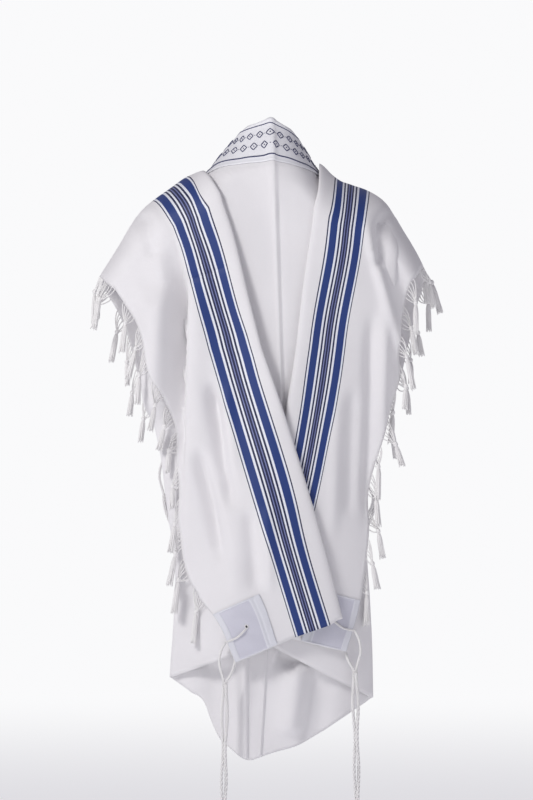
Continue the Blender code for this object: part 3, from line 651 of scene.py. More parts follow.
# %% The weave group
def make_weave_group():
    """Height: plain weave (the mean of both waves) mixed with twill (a slanting wave), plus noise. Shade: half
    the height and half a slow noise."""
    group = bpy.data.node_groups.new("weave", "ShaderNodeTree")
    for name, value in (("Threads per metre", 900.0), ("Diagonal", 0.5), ("Unevenness", 0.5)):
        socket = group.interface.new_socket(name, in_out="INPUT", socket_type="NodeSocketFloat")
        socket.default_value = value
    for name in ("Height", "Shade"):
        group.interface.new_socket(name, in_out="OUTPUT", socket_type="NodeSocketFloat")
    make = node_maker(group)
    entry, result = group.nodes.new("NodeGroupInput").outputs, group.nodes.new("NodeGroupOutput").inputs
    uv, u, v = cloth_place(make)
    turns = math_of(make, "MULTIPLY", entry["Threads per metre"], math.pi)
    across, along = (math_of(make, "MULTIPLY", way, turns) for way in (u, v))
    warp, weft = (math_of(make, "ABSOLUTE", math_of(make, "SINE", wave)) for wave in (across, along))
    plain = math_of(make, "MULTIPLY", math_of(make, "ADD", warp, weft), 0.5)
    slant = math_of(make, "MULTIPLY", math_of(make, "ADD", across, along), 0.5)
    twill = math_of(make, "ABSOLUTE", math_of(make, "SINE", slant))
    weave = make("Mix", {"Factor": entry["Diagonal"], "A": plain, "B": twill}).outputs["Result"]
    noise = make("TexNoise", {"Vector": uv, "Scale": 240.0, "Detail": 3.0}).outputs["Fac"]
    rough = math_of(make, "MULTIPLY", math_of(make, "SUBTRACT", noise, 0.5), entry["Unevenness"])
    height = math_of(make, "ADD", weave, rough)
    cloud = make("TexNoise", {"Vector": uv, "Scale": 11.0, "Detail": 4.0}).outputs["Fac"]
    shade = math_of(make, "ADD", *(math_of(make, "MULTIPLY", part, 0.5) for part in (height, cloud)))
    feed(group, result["Height"], height)
    feed(group, result["Shade"], shade)
    return group


WEAVE = make_weave_group()
print("weave group:", len(WEAVE.nodes), "nodes")


# %% Materials of the cloths
def woven_material(name, dark, light, roughness, threads, diagonal, bump, sheen):
    """A Principled shader whose colour wanders between two close shades with the weave, and whose bump is the
    weave's height."""
    material, tree, make, shader = new_material(name)
    weave = make("Group", {"Threads per metre": threads, "Diagonal": diagonal}, node_tree=WEAVE).outputs
    relief = make("Bump", {"Strength": bump, "Distance": 0.0004, "Height": weave["Height"]})
    for socket, value in (
        ("Roughness", roughness), ("Sheen Weight", sheen), ("Sheen Roughness", 0.5),
        ("Base Color", colour_mix(make, weave["Shade"], (*dark, 1), (*light, 1))),
        ("Normal", relief.outputs["Normal"]),
    ):
        feed(tree, shader[socket], value)
    return material


WOOL_ROUGHNESS = 0.85
wool_striped = woven_material(
    "striped_wool", (0.80, 0.79, 0.80), (0.88, 0.87, 0.885), WOOL_ROUGHNESS, 800.0, 0.7, 0.5, 0.04)
satin = woven_material("white_satin", (0.86, 0.87, 0.905), (0.92, 0.925, 0.955), 0.45, 1400.0, 0.9, 0.25, 0.1)
# The patch satin's wide spread between its dark and light colour, carried by the weave's slow noise, is partly
# the satin's uneven tone and partly painted reflection: the patchy gloss of satin painted into the colour
patch_satin = woven_material(
    "patch_satin", (0.66, 0.67, 0.725), (0.79, 0.80, 0.845), 0.38, 1400.0, 0.9, 0.3, 0.1)
print("materials:", wool_striped.name, satin.name, patch_satin.name)

# %% [markdown]
# ## The striped band
#
# The stripes are woven in, so they show on both faces and follow every fold. A colour ramp over the distance
# from the cloth's middle, read from the UV map, gives each yarn its place to a tenth of a millimetre, with no
# image. The blue yarn is a bit glossier than the wool.

# %% Stripes over the wool
YARN_ROUGHNESS = 0.55
YARNS = {
    "navy": (0.012, 0.017, 0.070),
    "blue": (0.012, 0.040, 0.200),
    "lilac": (0.20, 0.23, 0.46),
    "bright": (0.84, 0.87, 0.94),
}


def add_stripes(material):
    """Over the wool's colour lies the ramp's, where the distance from the middle line is within the band."""
    tree = material.node_tree
    make, shader = node_maker(tree), tree.nodes["Principled BSDF"].inputs
    wool_colour = shader["Base Color"].links[0].from_socket
    from_middle = math_of(make, "ABSOLUTE", cloth_place(make)[1])
    place = make("MapRange", {"Value": from_middle, "From Min": BAND_STARTS, "From Max": BAND_ENDS})
    ramp = make("ValToRGB", {"Fac": place.outputs["Result"]})
    ramp.color_ramp.interpolation = "CONSTANT"
    elements = ramp.color_ramp.elements
    elements.remove(elements[1])
    stripes = BAND_STRIPES + BAND_STRIPES[::-1]
    widths = np.array([width for width, yarn in stripes])
    starts = np.concatenate([[0], np.cumsum(widths)[:-1]]) / widths.sum()
    for k, (start, (width, yarn)) in enumerate(zip(starts, stripes)):
        element = elements.new(float(start)) if k else elements[0]
        element.position = float(start)
        element.color = (*YARNS[yarn], 1)
    inside = math_of(make, "COMPARE", from_middle, (BAND_STARTS + BAND_ENDS) / 2, (BAND_ENDS - BAND_STARTS) / 2)
    gloss = make("MapRange", {"Value": inside, "To Min": WOOL_ROUGHNESS, "To Max": YARN_ROUGHNESS})
    feed(tree, shader["Base Color"], colour_mix(make, inside, wool_colour, ramp.outputs["Color"]))
    feed(tree, shader["Roughness"], gloss.outputs["Result"])


add_stripes(wool_striped)
print("stripes in the band:", 2 * len(BAND_STRIPES) - 1)

# %% [markdown]
# ## The cloth itself
#
# One mesh for the whole rectangle. Its columns stand close together at the two folds and at the pressed
# middle, and further apart on the hidden inner layer, where nothing bends.

# %% Build the cloth
half = graded(
    [0, 0.03, 0.046, 0.092, SIDE_FOLD, SIDE_FOLD + ROUND, INNER_FOLD - ROUND / 2, INNER_FOLD + ROUND / 2, END],
    [12, 6, 12, 26, 5, 12, 6, 42],
)
columns = np.concatenate([-half[:0:-1], half])
rows = graded([0, 0.465, 0.515, 0.86, 0.96, 1], [78, 36, 46, 28, 8])
points, quads, uv = cloth_grid(columns, rows)
shawl = add_piece(
    new_mesh("shawl_cloth", points, quads, uv), wool_striped,
    ("back_cloth", "left_wing", "right_wing"), wall=WALL,
)
print("cloth:", points.shape, "quads:", len(quads))

# %% [markdown]
# ## The neckband
#
# A strip of white satin sewn over the middle of the top edge. Round a neck such a strip fans out like a
# collar: its upper edge is short and its lower edge long. So it is ruled between two lines on the figure: the
# cloth's own top edge, and a lower edge from a table. Its points lie on the back cloth's surface, a
# millimetre off it, so the strip bends exactly where the cloth bends. Its lower edge is turned in, and stands
# up a little.

# %% Neckband surface
# Metres along the top edge from its middle; x and way of the lower edge on the left, and on the right
NECKBAND_LOWER = np.array([
    (0.00, 0.000, -0.0745, 0.000, -0.0745), (0.03, 0.038, -0.0722, 0.036, -0.0700),
    (0.06, 0.078, -0.0680, 0.066, -0.0600), (0.075, 0.098, -0.0530, 0.079, -0.0490),
    (0.09, 0.114, -0.0310, 0.090, -0.0350),
    (0.12, 0.132, 0.0180, 0.108, 0.0000), (0.16, 0.143, 0.0600, 0.128, 0.0450),
    (0.20, 0.150, 0.0900, 0.140, 0.0800), (0.24, 0.158, 0.1200, 0.150, 0.1150),
])
NECKBAND_REACH = 0.21
NECKBAND_LIFT = WALL / 2 + TRIM_WALL / 2 + 0.0004


def neck_point(along, share, lift):
    """A point of the neckband: metres along the top edge (left is negative), share of the way down, lift."""
    a = np.linspace(-0.55 * SIDE_FOLD, 0.55 * SIDE_FOLD, 1201)
    edge_x, edge_way = neck_edge_point(a)
    edge = figure_point(edge_x, edge_way)
    walked = distance_walked(edge)
    walked -= np.interp(0.0, a, walked)
    left = [smooth_curve(-along, NECKBAND_LOWER[:, 0], NECKBAND_LOWER[:, i]) for i in (1, 2)]
    right = [smooth_curve(along, NECKBAND_LOWER[:, 0], NECKBAND_LOWER[:, i]) for i in (3, 4)]
    lower_x = np.where(along < 0, -left[0], right[0])
    lower_way = np.where(along < 0, left[1], right[1])
    upper_x, upper_way = np.interp(along, walked, edge_x), np.interp(along, walked, edge_way)
    x, way = upper_x + share * (lower_x - upper_x), upper_way + share * (lower_way - upper_way)
    turned_in = 0.0010 * np.exp(-(((share - 0.975) / 0.025) ** 2)) + 0.0006 * np.exp(-((share / 0.03) ** 2))
    return back_surface(x, way, NECKBAND_LIFT + turned_in + lift)


along = np.linspace(-NECKBAND_REACH, NECKBAND_REACH, 169)
share = graded([0.006, 0.93, 1.0], [26, 8])
points = neck_point(along[:, None], share[None, :], 0.0)
uv = np.stack(np.meshgrid(along, -share * NECKBAND_WIDTH, indexing="ij"), axis=-1)
neckband = add_piece(
    new_mesh("neckband_satin", points, grid_quads(len(along), len(share)), uv), satin,
    ("neckband",), wall=TRIM_WALL,
)
print("neckband:", points.shape, "width in the middle:",
      np.linalg.norm(np.diff(points[84], axis=0), axis=1).sum().round(4))

# %% [markdown]
# ## Threads
#
# Fringe, corner threads and embroidery are all yarn. A yarn is a path with a radius at each of its points;
# one function turns many paths at once into tubes, with whole-array arithmetic.

# %% Yarn helper
def yarn_mesh(name, bundles):
    """bundles are (paths, radii, sides): paths is (yarns, points, 3), radii (points,) or (yarns, points). At
    every point a ring stands square to the path; its axes come from the path's direction and a fixed one."""
    all_points, all_quads, total = [], [], 0
    for paths, radii, sides in bundles:
        count, length = paths.shape[:2]
        radii = np.broadcast_to(radii, (count, length))
        direction = unit(np.gradient(paths, axis=1))
        reference = np.array([0.31, -0.93, 0.18])
        first = unit(reference - direction * (direction @ reference)[..., None])
        second = np.cross(direction, first)
        angle = np.arange(sides) * 2 * math.pi / sides
        ring = np.cos(angle)[:, None] * first[..., None, :] + np.sin(angle)[:, None] * second[..., None, :]
        points = paths[..., None, :] + ring * radii[..., None, None]
        index = np.arange(count * length * sides).reshape(count, length, sides) + total
        beside = np.roll(index, -1, axis=2)
        tube = np.stack([index[:, :-1], beside[:, :-1], beside[:, 1:], index[:, 1:]], axis=-1)
        all_points.append(points.reshape(-1, 3))
        all_quads.append(tube.reshape(-1, 4))
        if sides == 4:
            all_quads.append(index[:, 0, ::-1])
            all_quads.append(index[:, -1])
        total += index.size
    return new_mesh(name, np.concatenate(all_points), np.concatenate(all_quads))


def thread_material(name, dark, light, roughness):
    """Spun yarn: fine noise over Object coordinates changes its shade and its bump."""
    material, tree, make, shader = new_material(name)
    place = make("TexCoord").outputs["Object"]
    noise = make("TexNoise", {"Vector": place, "Scale": 700.0, "Detail": 3.0}).outputs["Fac"]
    relief = make("Bump", {"Strength": 0.4, "Distance": 0.0003, "Height": noise})
    for socket, value in (
        ("Roughness", roughness), ("Sheen Weight", 0.2), ("Normal", relief.outputs["Normal"]),
        ("Base Color", colour_mix(make, noise, (*dark, 1), (*light, 1))),
    ):
        feed(tree, shader[socket], value)
    return material


wool_yarn = thread_material("white_yarn", (0.84, 0.83, 0.82), (0.93, 0.925, 0.92), 0.9)
navy_yarn = thread_material("navy_yarn", (0.012, 0.016, 0.075), (0.035, 0.045, 0.16), 0.6)

# %% [markdown]
# ## Borders and ornament of the neckband
#
# Satin stitch stands up from its cloth. The borders are two long yarns. Between them run two rows of small
# lozenges, each outlined with four stitches round a dot, with a smaller dot between neighbours.

# %% Embroidery on the neckband
BORDERS = [(0.095, 0.0011), (0.865, 0.0016)]
ORNAMENT_ROWS = [(0.340, 0.0), (0.620, 0.5)]
MOTIF_PITCH = 0.0172
LOZENGE = (0.0058, 0.088)
STITCH = 0.00115


def on_band(along, share, lift):
    """Points of the neckband for arrays of places: bilinear in a fine table of its surface."""
    table_s = np.linspace(-NECKBAND_REACH, NECKBAND_REACH, 421)
    table_d = np.linspace(0.0, 1.0, 81)
    surface = neck_point(table_s[:, None], table_d[None, :], TRIM_WALL / 2 + lift)
    i = np.clip((along - table_s[0]) / (table_s[1] - table_s[0]), 0, len(table_s) - 1.001)
    j = np.clip(share / table_d[1], 0, len(table_d) - 1.001)
    i0, j0 = i.astype(int), j.astype(int)
    u, v = (i - i0)[..., None], (j - j0)[..., None]
    return (
        surface[i0, j0] * (1 - u) * (1 - v) + surface[i0 + 1, j0] * u * (1 - v)
        + surface[i0, j0 + 1] * (1 - u) * v + surface[i0 + 1, j0 + 1] * u * v
    )


def stitches(start, end, count):
    """Straight stitches from each start to each end, both (number, 2) arrays of along and share."""
    s = np.linspace(0, 1, count)[None, :, None]
    places = start[:, None] * (1 - s) + end[:, None] * s
    return on_band(places[..., 0], places[..., 1], 0.0001)


border_along = np.linspace(-NECKBAND_REACH + 0.001, NECKBAND_REACH - 0.001, 260)
bundles = [(on_band(border_along, np.full_like(border_along, share), 0.0)[None], radius, 4)
           for share, radius in BORDERS]
lozenge_corners = np.array([(1, 0), (0, 1), (-1, 0), (0, -1)]) * LOZENGE
sides_of_lozenges, dots, small_dots = [], [], []
for share, shift in ORNAMENT_ROWS:
    middle = (np.arange(-10, 10) + shift) * MOTIF_PITCH
    middle = np.stack([middle, np.full_like(middle, share)], axis=1)
    for corner, following in zip(lozenge_corners, np.roll(lozenge_corners, -1, axis=0)):
        sides_of_lozenges.append(stitches(middle + corner, middle + following, 6))
    dots.append(stitches(middle - (0.0009, 0), middle + (0.0009, 0), 5))
    between = middle + (MOTIF_PITCH / 2, 0)
    small_dots.append(stitches(between - (0.0006, 0), between + (0.0006, 0), 5))
plump = np.sin(np.linspace(0.10, 0.90, 6) * math.pi)
round_off = np.sin(np.linspace(0.12, 0.88, 5) * math.pi)
bundles.append((np.concatenate(sides_of_lozenges), STITCH * (0.55 + 0.45 * plump), 4))
bundles.append((np.concatenate(dots), 0.0017 * round_off, 4))
bundles.append((np.concatenate(small_dots), 0.0012 * round_off, 4))
embroidery = add_piece(yarn_mesh("neckband_embroidery", bundles), navy_yarn)
print("lozenges:", len(np.concatenate(dots)), "faces:", len(embroidery.data.polygons))

# %% [markdown]
# ## Corner patches
#
# A square of satin strengthens each corner, because the corner threads hang from it. Its edges are turned in
# and stitched: wide borders at two sides, narrow ones at the others, all a little raised. The field between
# the wide borders is darker. The small hole that the threads come out of is not cut; it is a near black disc of
# painted shade. Both are colours by place on the UV map. The patch's points are the cloth's own, lifted.

# %% Sizes and relief of a patch
PATCH_LIFT = WALL / 2 + TRIM_WALL / 2 + 0.0003
PATCH_BORDER = 0.013
PATCH_SEAM = 0.003
PANEL_ACROSS = (0.014, PATCH_WIDTH - 0.025)
# Radius of the eyelet hole, a disc of painted shade
HOLE_RADIUS = 0.0026


def share_at(side, distance, front, inwards=0.0):
    """The share t that lies this many metres from the hem or front edge, on a line inwards from the end."""
    t = np.linspace(0, 0.2, 200)
    t = 1 - t if front else t
    line = cloth(SIGN[side] * (END - inwards), t)
    lengths = distance_walked(line)
    return np.interp(distance, lengths, t)


def patch_relief(u, v):
    """Wide borders on two sides, narrow ones on the others, a pleat, and puckers along the stitches."""
    beside, along = np.minimum(u, PATCH_WIDTH - u), np.minimum(v, PATCH_HEIGHT - v)
    from_edge = np.minimum(beside, along)
    border = np.maximum(1 - ease((beside - PATCH_BORDER) / 0.002), 1 - ease((along - PATCH_SEAM) / 0.002))
    pleat = np.exp(-(((PATCH_WIDTH - u - 0.022) / 0.0022) ** 2))
    across, down = np.clip(u / PATCH_WIDTH, 0, 1), np.clip(v / PATCH_HEIGHT, 0, 1)
    pillow = np.sin(across * math.pi) * np.sin(down * math.pi)
    pucker = 0.0004 * np.sin(u * 420 + 3 * np.sin(v * 90)) * np.exp(-from_edge / 0.005)
    soft = 0.0007 * np.sin(u * 95 + v * 130) * pillow
    return 0.0009 * border + 0.0008 * pleat + 0.0012 * pillow + pucker + soft


# %% Panel, and painted shade in the eyelet hole, by place on the UV map
def add_panel(material, panel, hole):
    """Darken the field between the wide borders, and paint shade into a small round hole, both by places on the
    UV map.
    """
    tree = material.node_tree
    make, shader = node_maker(tree), tree.nodes["Principled BSDF"].inputs
    uv, u, v = cloth_place(make)
    across, along = (
        math_of(make, "COMPARE", way, (low + high) / 2, (high - low) / 2)
        for way, low, high in ((u, *PANEL_ACROSS), (v, PATCH_SEAM, PATCH_HEIGHT - PATCH_SEAM))
    )
    away = make("VectorMath", {0: uv, 1: (EYELET_IN, EYELET_IN, 0.0)}, operation="DISTANCE")
    # Inside this radius the colour is painted shade: the dark of the eyelet hole, with no hole cut
    hole_shade_mask = math_of(make, "LESS_THAN", away.outputs["Value"], HOLE_RADIUS)
    colour = shader["Base Color"].links[0].from_socket
    colour = colour_mix(make, math_of(make, "MULTIPLY", across, along), colour, (*panel, 1), "MULTIPLY")
    feed(tree, shader["Base Color"], colour_mix(make, hole_shade_mask, colour, (*hole, 1)))


# The second colour is the near black painted shade of the eyelet hole
add_panel(patch_satin, (0.87, 0.86, 0.905), (0.02, 0.02, 0.03))

# %% Build the patches
PATCH_IN = 0.0012
u = graded([PATCH_IN, PATCH_BORDER, PATCH_BORDER + 0.003, PATCH_WIDTH - 0.028, PATCH_WIDTH], [6, 3, 24, 16])
v = graded([PATCH_IN, PATCH_SEAM, PATCH_SEAM + 0.002, PATCH_HEIGHT - 0.005, PATCH_HEIGHT], [4, 3, 34, 6])
grid_u, grid_v = np.meshgrid(u, v)
for side in SIGN:
    for end in ("back", "front"):
        t = np.stack([share_at(side, v, end == "front", one) for one in u], axis=1)
        points = cloth(SIGN[side] * (END - grid_u), t, PATCH_LIFT + patch_relief(grid_u, grid_v))
        quads = grid_quads(len(v), len(u))
        if (side == "right") != (end == "front"):
            quads = quads[:, ::-1]
        name = f"patch_satin_{end}_{side}"
        patch = add_piece(
            new_mesh(name, points, quads, np.stack([grid_u, grid_v], axis=-1)), patch_satin,
            (f"patch_{end}_{side}",), wall=TRIM_WALL,
        )
        print(name, "quads:", len(quads))

# %% [markdown]
# ## Knotted fringe
#
# Along both ends the warp is left long. A few yarns come together to a knot, and hang from it as a small
# tassel. Yarn is limp, so a tassel leaves the cloth square to its edge and soon hangs straight down;
# neighbours lie a little in front of each other. A seeded random generator makes every tassel a bit
# different.

# %% Build the fringes
TASSEL_SPACING = 0.056
ROOTS_PER_KNOT = 6
YARNS_PER_TASSEL = 9
# How far a tassel may stray from its even place, and how far to each side its roots reach
STRAY, ROOT_SPREAD = 0.008, 0.0185
# Shortest and longest: from the cloth to the knot, and from the knot to the tip
TO_KNOT, TAIL = (0.020, 0.032), (0.038, 0.060)
ROOT_RADIUS, KNOT_RADIUS, KNOT_HALF = 0.0011, 0.0043, 0.0050
random = np.random.default_rng(613)


def bezier(p0, p1, p2, s):
    """The quadratic curve from p0 to p2 that leaves towards p1, at the shares s."""
    s = s[None, :, None]
    return p0[:, None] * (1 - s) ** 2 + 2 * p1[:, None] * s * (1 - s) + p2[:, None] * s**2


def tassel_frames(side):
    """Middles of the tassels on the cloth's end, with the directions along it, out of it and off its face."""
    t = np.linspace(0, 1, 700)
    line = cloth(SIGN[side] * END, t)
    lengths = distance_walked(line)
    room = lengths[-1] - 2 * PATCH_HEIGHT - 0.03
    count = int(room / TASSEL_SPACING)
    middles = PATCH_HEIGHT + 0.015 + (np.arange(count) + 0.5) * room / count
    middles += random.uniform(-STRAY, STRAY, count)

    def at(distance):
        return np.stack([np.interp(distance, lengths, line[:, i]) for i in range(3)], axis=-1)

    edge = unit(at(middles + 0.004) - at(middles - 0.004))
    shares = np.interp(middles, lengths, t)
    inner = cloth(SIGN[side] * (END - 0.006), shares)
    outward = at(middles) - inner
    outward = unit(outward - edge * (outward * edge).sum(axis=1, keepdims=True))
    normal = np.cross(edge, outward) * -SIGN[side]
    return at, middles, edge, outward, normal


def make_fringe(side):
    """For every tassel of one end at once: roots to the knot, the knot, a core, and loose yarns round it."""
    at, middles, edge, outward, normal = tassel_frames(side)
    count = len(middles)
    down = np.array([0.0, 0.0, -1.0])
    level = (np.arange(count) % 3)[:, None]
    jitter = random.normal(0, 1, (count, 3))
    knot_way = unit(random.uniform(0.15, 0.60, (count, 1)) * outward + 0.85 * down + 0.10 * jitter)
    knot = at(middles) + knot_way * random.uniform(*TO_KNOT, (count, 1)) + normal * (0.002 + 0.0040 * level)
    bundles = []
    root_shape = np.linspace(0, 1, 7)
    for k in np.linspace(-1, 1, ROOTS_PER_KNOT):
        start = at(middles + k * ROOT_SPREAD) - outward * 0.0012
        bend = start + outward * 0.009 + down * random.uniform(0.000, 0.012, (count, 1)) + 0.0015 * jitter
        paths = bezier(start, bend, knot + edge * k * 0.0014, root_shape)
        bundles.append((paths, ROOT_RADIUS, 4))
    swing = unit(down + outward * random.uniform(-0.05, 0.25, (count, 1)) + normal * 0.05 + 0.07 * jitter)
    length = random.uniform(*TAIL, (count, 1))
    knot_shape = np.linspace(-1, 1, 7)
    knot_paths = knot[:, None] + swing[:, None] * (knot_shape * KNOT_HALF)[None, :, None]
    knot_radii = KNOT_RADIUS * np.sqrt(np.clip(1 - (knot_shape * 0.93) ** 2, 0.02, 1))
    bundles.append((knot_paths, knot_radii, 6))
    tail_shape = np.linspace(0, 1, 7)
    tail_radius = 0.0014 * np.array([0.8, 1.1, 1.2, 1.15, 1.1, 1.0, 0.5])
    sideways = unit(np.cross(swing, normal))
    core = knot[:, None] + swing[:, None] * (0.003 + tail_shape * length * 0.96)[..., None]
    bundles.append((core, 0.0040 * np.array([0.6, 0.95, 1.0, 1.0, 1.0, 0.95, 0.6]), 6))
    openness = random.uniform(0.9, 1.4, (count, 1, 1))
    for k in range(YARNS_PER_TASSEL):
        turn = 2 * math.pi * k / YARNS_PER_TASSEL
        aside = np.cos(turn) * sideways + np.sin(turn) * normal
        loose = random.normal(0, 0.0009, (count, 3))
        spread = np.array([0.0014, 0.0030, 0.0036, 0.0037, 0.0037, 0.0039, 0.0043])
        paths = (
            knot[:, None] + swing[:, None] * (0.003 + tail_shape * length)[..., None]
            + aside[:, None] * spread[None, :, None] * (1 + (openness - 1) * tail_shape[None, :, None] ** 3)
            + loose[:, None] * tail_shape[None, :, None] ** 2
        )
        bundles.append((paths, tail_radius, 4))
    mesh = yarn_mesh(f"fringe_yarn_{side}", bundles)
    add_piece(mesh, wool_yarn, (f"fringe_{side}",))
    print(f"fringe on the {side}: {count} tassels, {len(mesh.polygons)} faces")


for side in SIGN:
    make_fringe(side)

# %% [markdown]
# ## Corner threads
#
# The threads of a corner come out of the eyelet of its patch, pass over the end of the cloth, and are knotted
# a hand's breadth below it, with the part that comes from under the hem. From the knot they hang in two
# loosely twisted strands. A strand is four threads wound round one path: each thread is the path plus a small
# circle that turns as it goes down. A ring of yarn is stitched round the eyelet.

# %% Helpers for twisted strands
THREAD = 0.00115
FINE_THREAD = 0.0009
PLY = 4
KNOT_DROP = 0.077
STRAND_LENGTH = 0.300
EYELET_RING = 0.0034
# Half width, half depth and height of the knot's wraps
KNOT_SIZE, KNOT_TURNS, WRAP_RADIUS = (0.0038, 0.0034, 0.012), 4, 0.0014


def smooth_path(stations, count):
    """A curve through the stations, each coordinate by smooth_curve over the distance walked."""
    stations = np.array(stations)
    walked = distance_walked(stations)
    s = np.linspace(0, walked[-1], count)
    return np.stack([smooth_curve(s, walked, stations[:, i]) for i in range(3)], axis=1), s


def plied(path, s, radius, turns_per_metre, phase=0.0):
    """Four threads round one path: the path plus a circle of the given radius, turned along the way."""
    direction = unit(np.gradient(path, axis=0))
    reference = np.array([0.97, 0.0, 0.24])
    first = unit(reference - direction * (direction @ reference)[:, None])
    second = np.cross(direction, first)
    paths = []
    for k in range(PLY):
        angle = (phase + k / PLY + s * turns_per_metre) * 2 * math.pi
        paths.append(path + radius * (np.cos(angle)[:, None] * first + np.sin(angle)[:, None] * second))
    return np.stack(paths)


# %% Build the corner threads
def make_corner_threads(side, end):
    """Cord from the eyelet, ring, both ways to the knot, the knot's turns, and the two strands below it."""
    sign, front = SIGN[side], end == "front"
    out = np.array([0.0, 1.0 if front else -1.0, 0.0])
    lift = PATCH_LIFT + 0.0022

    def on_patch(inwards, up, off):
        return cloth(sign * (END - inwards), share_at(side, up, front), off)

    def beside(middle, *steps):
        """Stations at steps from a point: outwards from the spine, down, and off the cloth's face."""
        return [middle + np.array([sign * away, 0, -down]) + out * off for away, down, off in steps]

    hole = on_patch(EYELET_IN - 0.0010, EYELET_IN - 0.0005, -0.001)
    eyelet = on_patch(EYELET_IN - 0.0035, EYELET_IN - 0.0016, lift - 0.0008)
    halfway = on_patch(EYELET_IN * 0.48, EYELET_IN * 0.80, lift + 0.0016)
    over = on_patch(-0.0025, EYELET_IN * 0.78, lift - 0.0005)
    knot = beside(over, (0.001, KNOT_DROP, 0))[0]
    path, s = smooth_path([hole, eyelet, halfway, over], 26)
    bundles = [(plied(path, s, 0.0013, 45), FINE_THREAD, 4)]
    circle = np.linspace(0, 2 * math.pi, 25)
    ring_share = share_at(side, EYELET_IN + EYELET_RING * np.sin(circle), front, EYELET_IN)
    ring = cloth(sign * (END - EYELET_IN - EYELET_RING * np.cos(circle)), ring_share, lift)
    bundles.append((ring[None], FINE_THREAD, 4))
    outer = beside(over, (0.0075, 0.014, 0.001), (0.0115, 0.036, 0.002), (0.0060, 0.060, 0.001))
    inner = beside(knot, (-0.022, -0.056, -0.012), (-0.0175, -0.037, -0.004), (-0.0125, -0.022, 0.001),
                   (-0.0050, -0.009, 0.001))
    for stations in ([over, *outer, knot], [*inner, knot]):
        path, s = smooth_path(stations, 30)
        bundles.append((plied(path, s, 0.0014, 30), THREAD, 4))
    turns = np.linspace(0, KNOT_TURNS * 2 * math.pi, 72)
    wide, deep, high = KNOT_SIZE
    wrap = np.stack([wide * np.cos(turns), deep * np.sin(turns), high / 2 - turns / turns[-1] * high], axis=1)
    bundles.append(((knot + wrap)[None], WRAP_RADIUS, 4))
    drop = np.linspace(0, 1, 150)
    for way in (-1, 1):
        sway = way * (0.0020 + 0.0034 * np.sin(drop * math.pi * 2.5) ** 2 * (1 - 0.5 * drop))
        ahead = way * 0.0030 * np.cos(drop * math.pi * 5)
        drift = -0.036 * ease(drop / 0.35) if front else 0.004 * drop
        path = knot + np.stack([sway + sign * drift, out[1] * (0.001 + ahead), -STRAND_LENGTH * drop], axis=1)
        bundles.append((plied(path, drop * STRAND_LENGTH, 0.0018, 28, 0.1 * way), 1.2 * THREAD, 4))
    mesh = yarn_mesh(f"corner_threads_{end}_{side}", bundles)
    add_piece(mesh, wool_yarn, (f"tzitzit_{end}_{side}",))
    return len(mesh.polygons)


for side in SIGN:
    for end in ("back", "front"):
        print("corner threads", end, side, make_corner_threads(side, end), "faces")

# %% [markdown]
# ## The cloth pieces
#

# %% Sheets
print("sheets:", shawl.name, neckband.name, "and the four patches")

# %% [markdown]
# ## Floor, light and camera
#
# White cloth on white needs light that wraps round it: a bright plain surround, one large soft lamp from the
# upper left to draw the folds, and a weak one from the right. The camera stands straight behind, at chest
# height and far back, so that the lines stay as straight as a long lens keeps them.

# %% Floor
# Pale paint that fades into the white of the surround with the distance, as paper on a studio floor does
FLOOR_SIZE, FLOOR_LEVEL = 12.0, -1.48
FADE_STARTS, FADE_ENDS = 3.0, 11.5
WHITE = (0.955, 0.955, 0.965, 1)
floor_mesh = new_mesh("floor", np.array([
    (-FLOOR_SIZE, -FLOOR_SIZE, FLOOR_LEVEL), (FLOOR_SIZE, -FLOOR_SIZE, FLOOR_LEVEL),
    (FLOOR_SIZE, FLOOR_SIZE, FLOOR_LEVEL), (-FLOOR_SIZE, FLOOR_SIZE, FLOOR_LEVEL),
]), np.array([[0, 1, 2, 3]]))
floor = bpy.data.objects.new("floor", floor_mesh)
bpy.context.scene.collection.objects.link(floor)
floor_paint, tree, make, paint = new_material("floor_paint")
away = make("VectorMath", {0: make("TexCoord").outputs["Object"]}, operation="LENGTH").outputs["Value"]
fade = make("MapRange", {"Value": away, "From Min": FADE_STARTS, "From Max": FADE_ENDS},
            interpolation_type="SMOOTHSTEP").outputs["Result"]
for socket, value in (
    ("Roughness", 0.9), ("Specular IOR Level", 0.0), ("Emission Color", WHITE),
    ("Base Color", colour_mix(make, fade, (0.86, 0.86, 0.88, 1), (0.0, 0.0, 0.0, 1))),
    ("Emission Strength", make("MapRange", {"Value": fade, "To Min": 0.45}).outputs["Result"]),
):
    feed(tree, paint[socket], value)
floor_mesh.materials.append(floor_paint)
print("floor at", FLOOR_LEVEL)

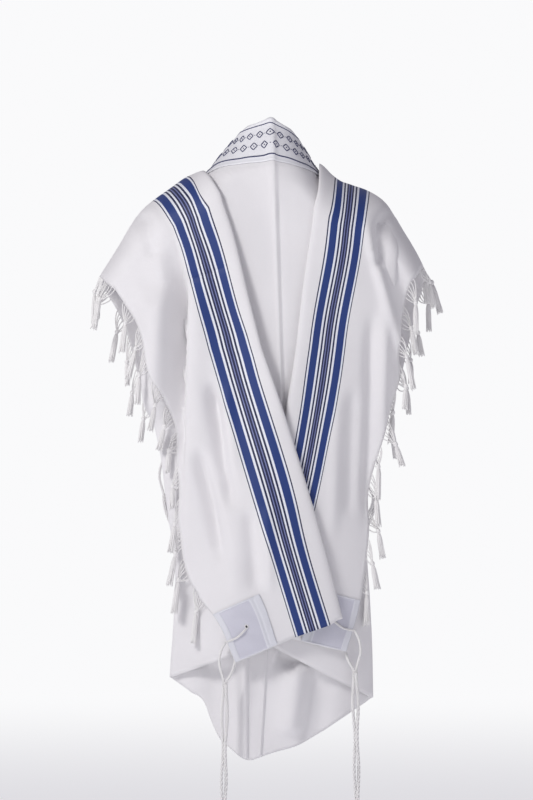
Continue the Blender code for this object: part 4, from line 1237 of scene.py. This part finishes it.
# %% Light
# The surround is white to the eye, but lights the cloth much more softly than it looks
SURROUND = (0.26, 0.25, 0.285, 1)
world = bpy.data.worlds.new("studio")
world.use_nodes = True
make = node_maker(world.node_tree)
seen = colour_mix(make, make("LightPath").outputs["Is Camera Ray"], SURROUND, WHITE)
feed(world.node_tree, world.node_tree.nodes["Background"].inputs["Color"], seen)
bpy.context.scene.world = world
bpy.context.scene.view_settings.view_transform = "Standard"


def add_softbox(name, place, aim, size, watts, colour):
    """A square lamp at a place, turned to face the aim."""
    lamp = bpy.data.lights.new(name, "AREA")
    lamp.size = size
    lamp.energy = watts
    lamp.color = colour
    box = bpy.data.objects.new(name, lamp)
    box.location = place
    direction = np.array(aim) - np.array(place)
    pitch = math.atan2(math.hypot(direction[0], direction[1]), -direction[2])
    box.rotation_euler = (pitch, 0.0, math.atan2(direction[1], direction[0]) - math.pi / 2)
    bpy.context.scene.collection.objects.link(box)


add_softbox("key", (-2.3, -2.7, 1.9), (0, 0, -0.45), 1.0, 84.0, (1.0, 0.985, 0.975))
add_softbox("fill", (2.6, -3.0, 0.4), (0, 0, -0.5), 2.0, 7.0, (0.96, 0.95, 1.0))
print("lamps:", [lamp.name for lamp in bpy.data.lights])

# %% Camera
METRES_PER_PIXEL = 0.00185
IMAGE = (533, 800)
SPINE_PIXEL, NECK_PIXEL = 270, 175
CAMERA_AWAY, CLOTH_PLANE = 12.0, -0.10
camera_data = bpy.data.cameras.new("camera")
camera = bpy.data.objects.new("camera", camera_data)
bpy.context.scene.collection.objects.link(camera)
bpy.context.scene.camera = camera
camera.location = (
    (IMAGE[0] / 2 - SPINE_PIXEL) * METRES_PER_PIXEL, CLOTH_PLANE - CAMERA_AWAY,
    (NECK_PIXEL - IMAGE[1] / 2) * METRES_PER_PIXEL,
)
camera.rotation_euler = (math.pi / 2, 0, 0)
camera_data.sensor_fit = "VERTICAL"
camera_data.sensor_height = 36.0
camera_data.lens = camera_data.sensor_height * CAMERA_AWAY / (IMAGE[1] * METRES_PER_PIXEL)
print("lens:", round(camera_data.lens, 1), "mm")
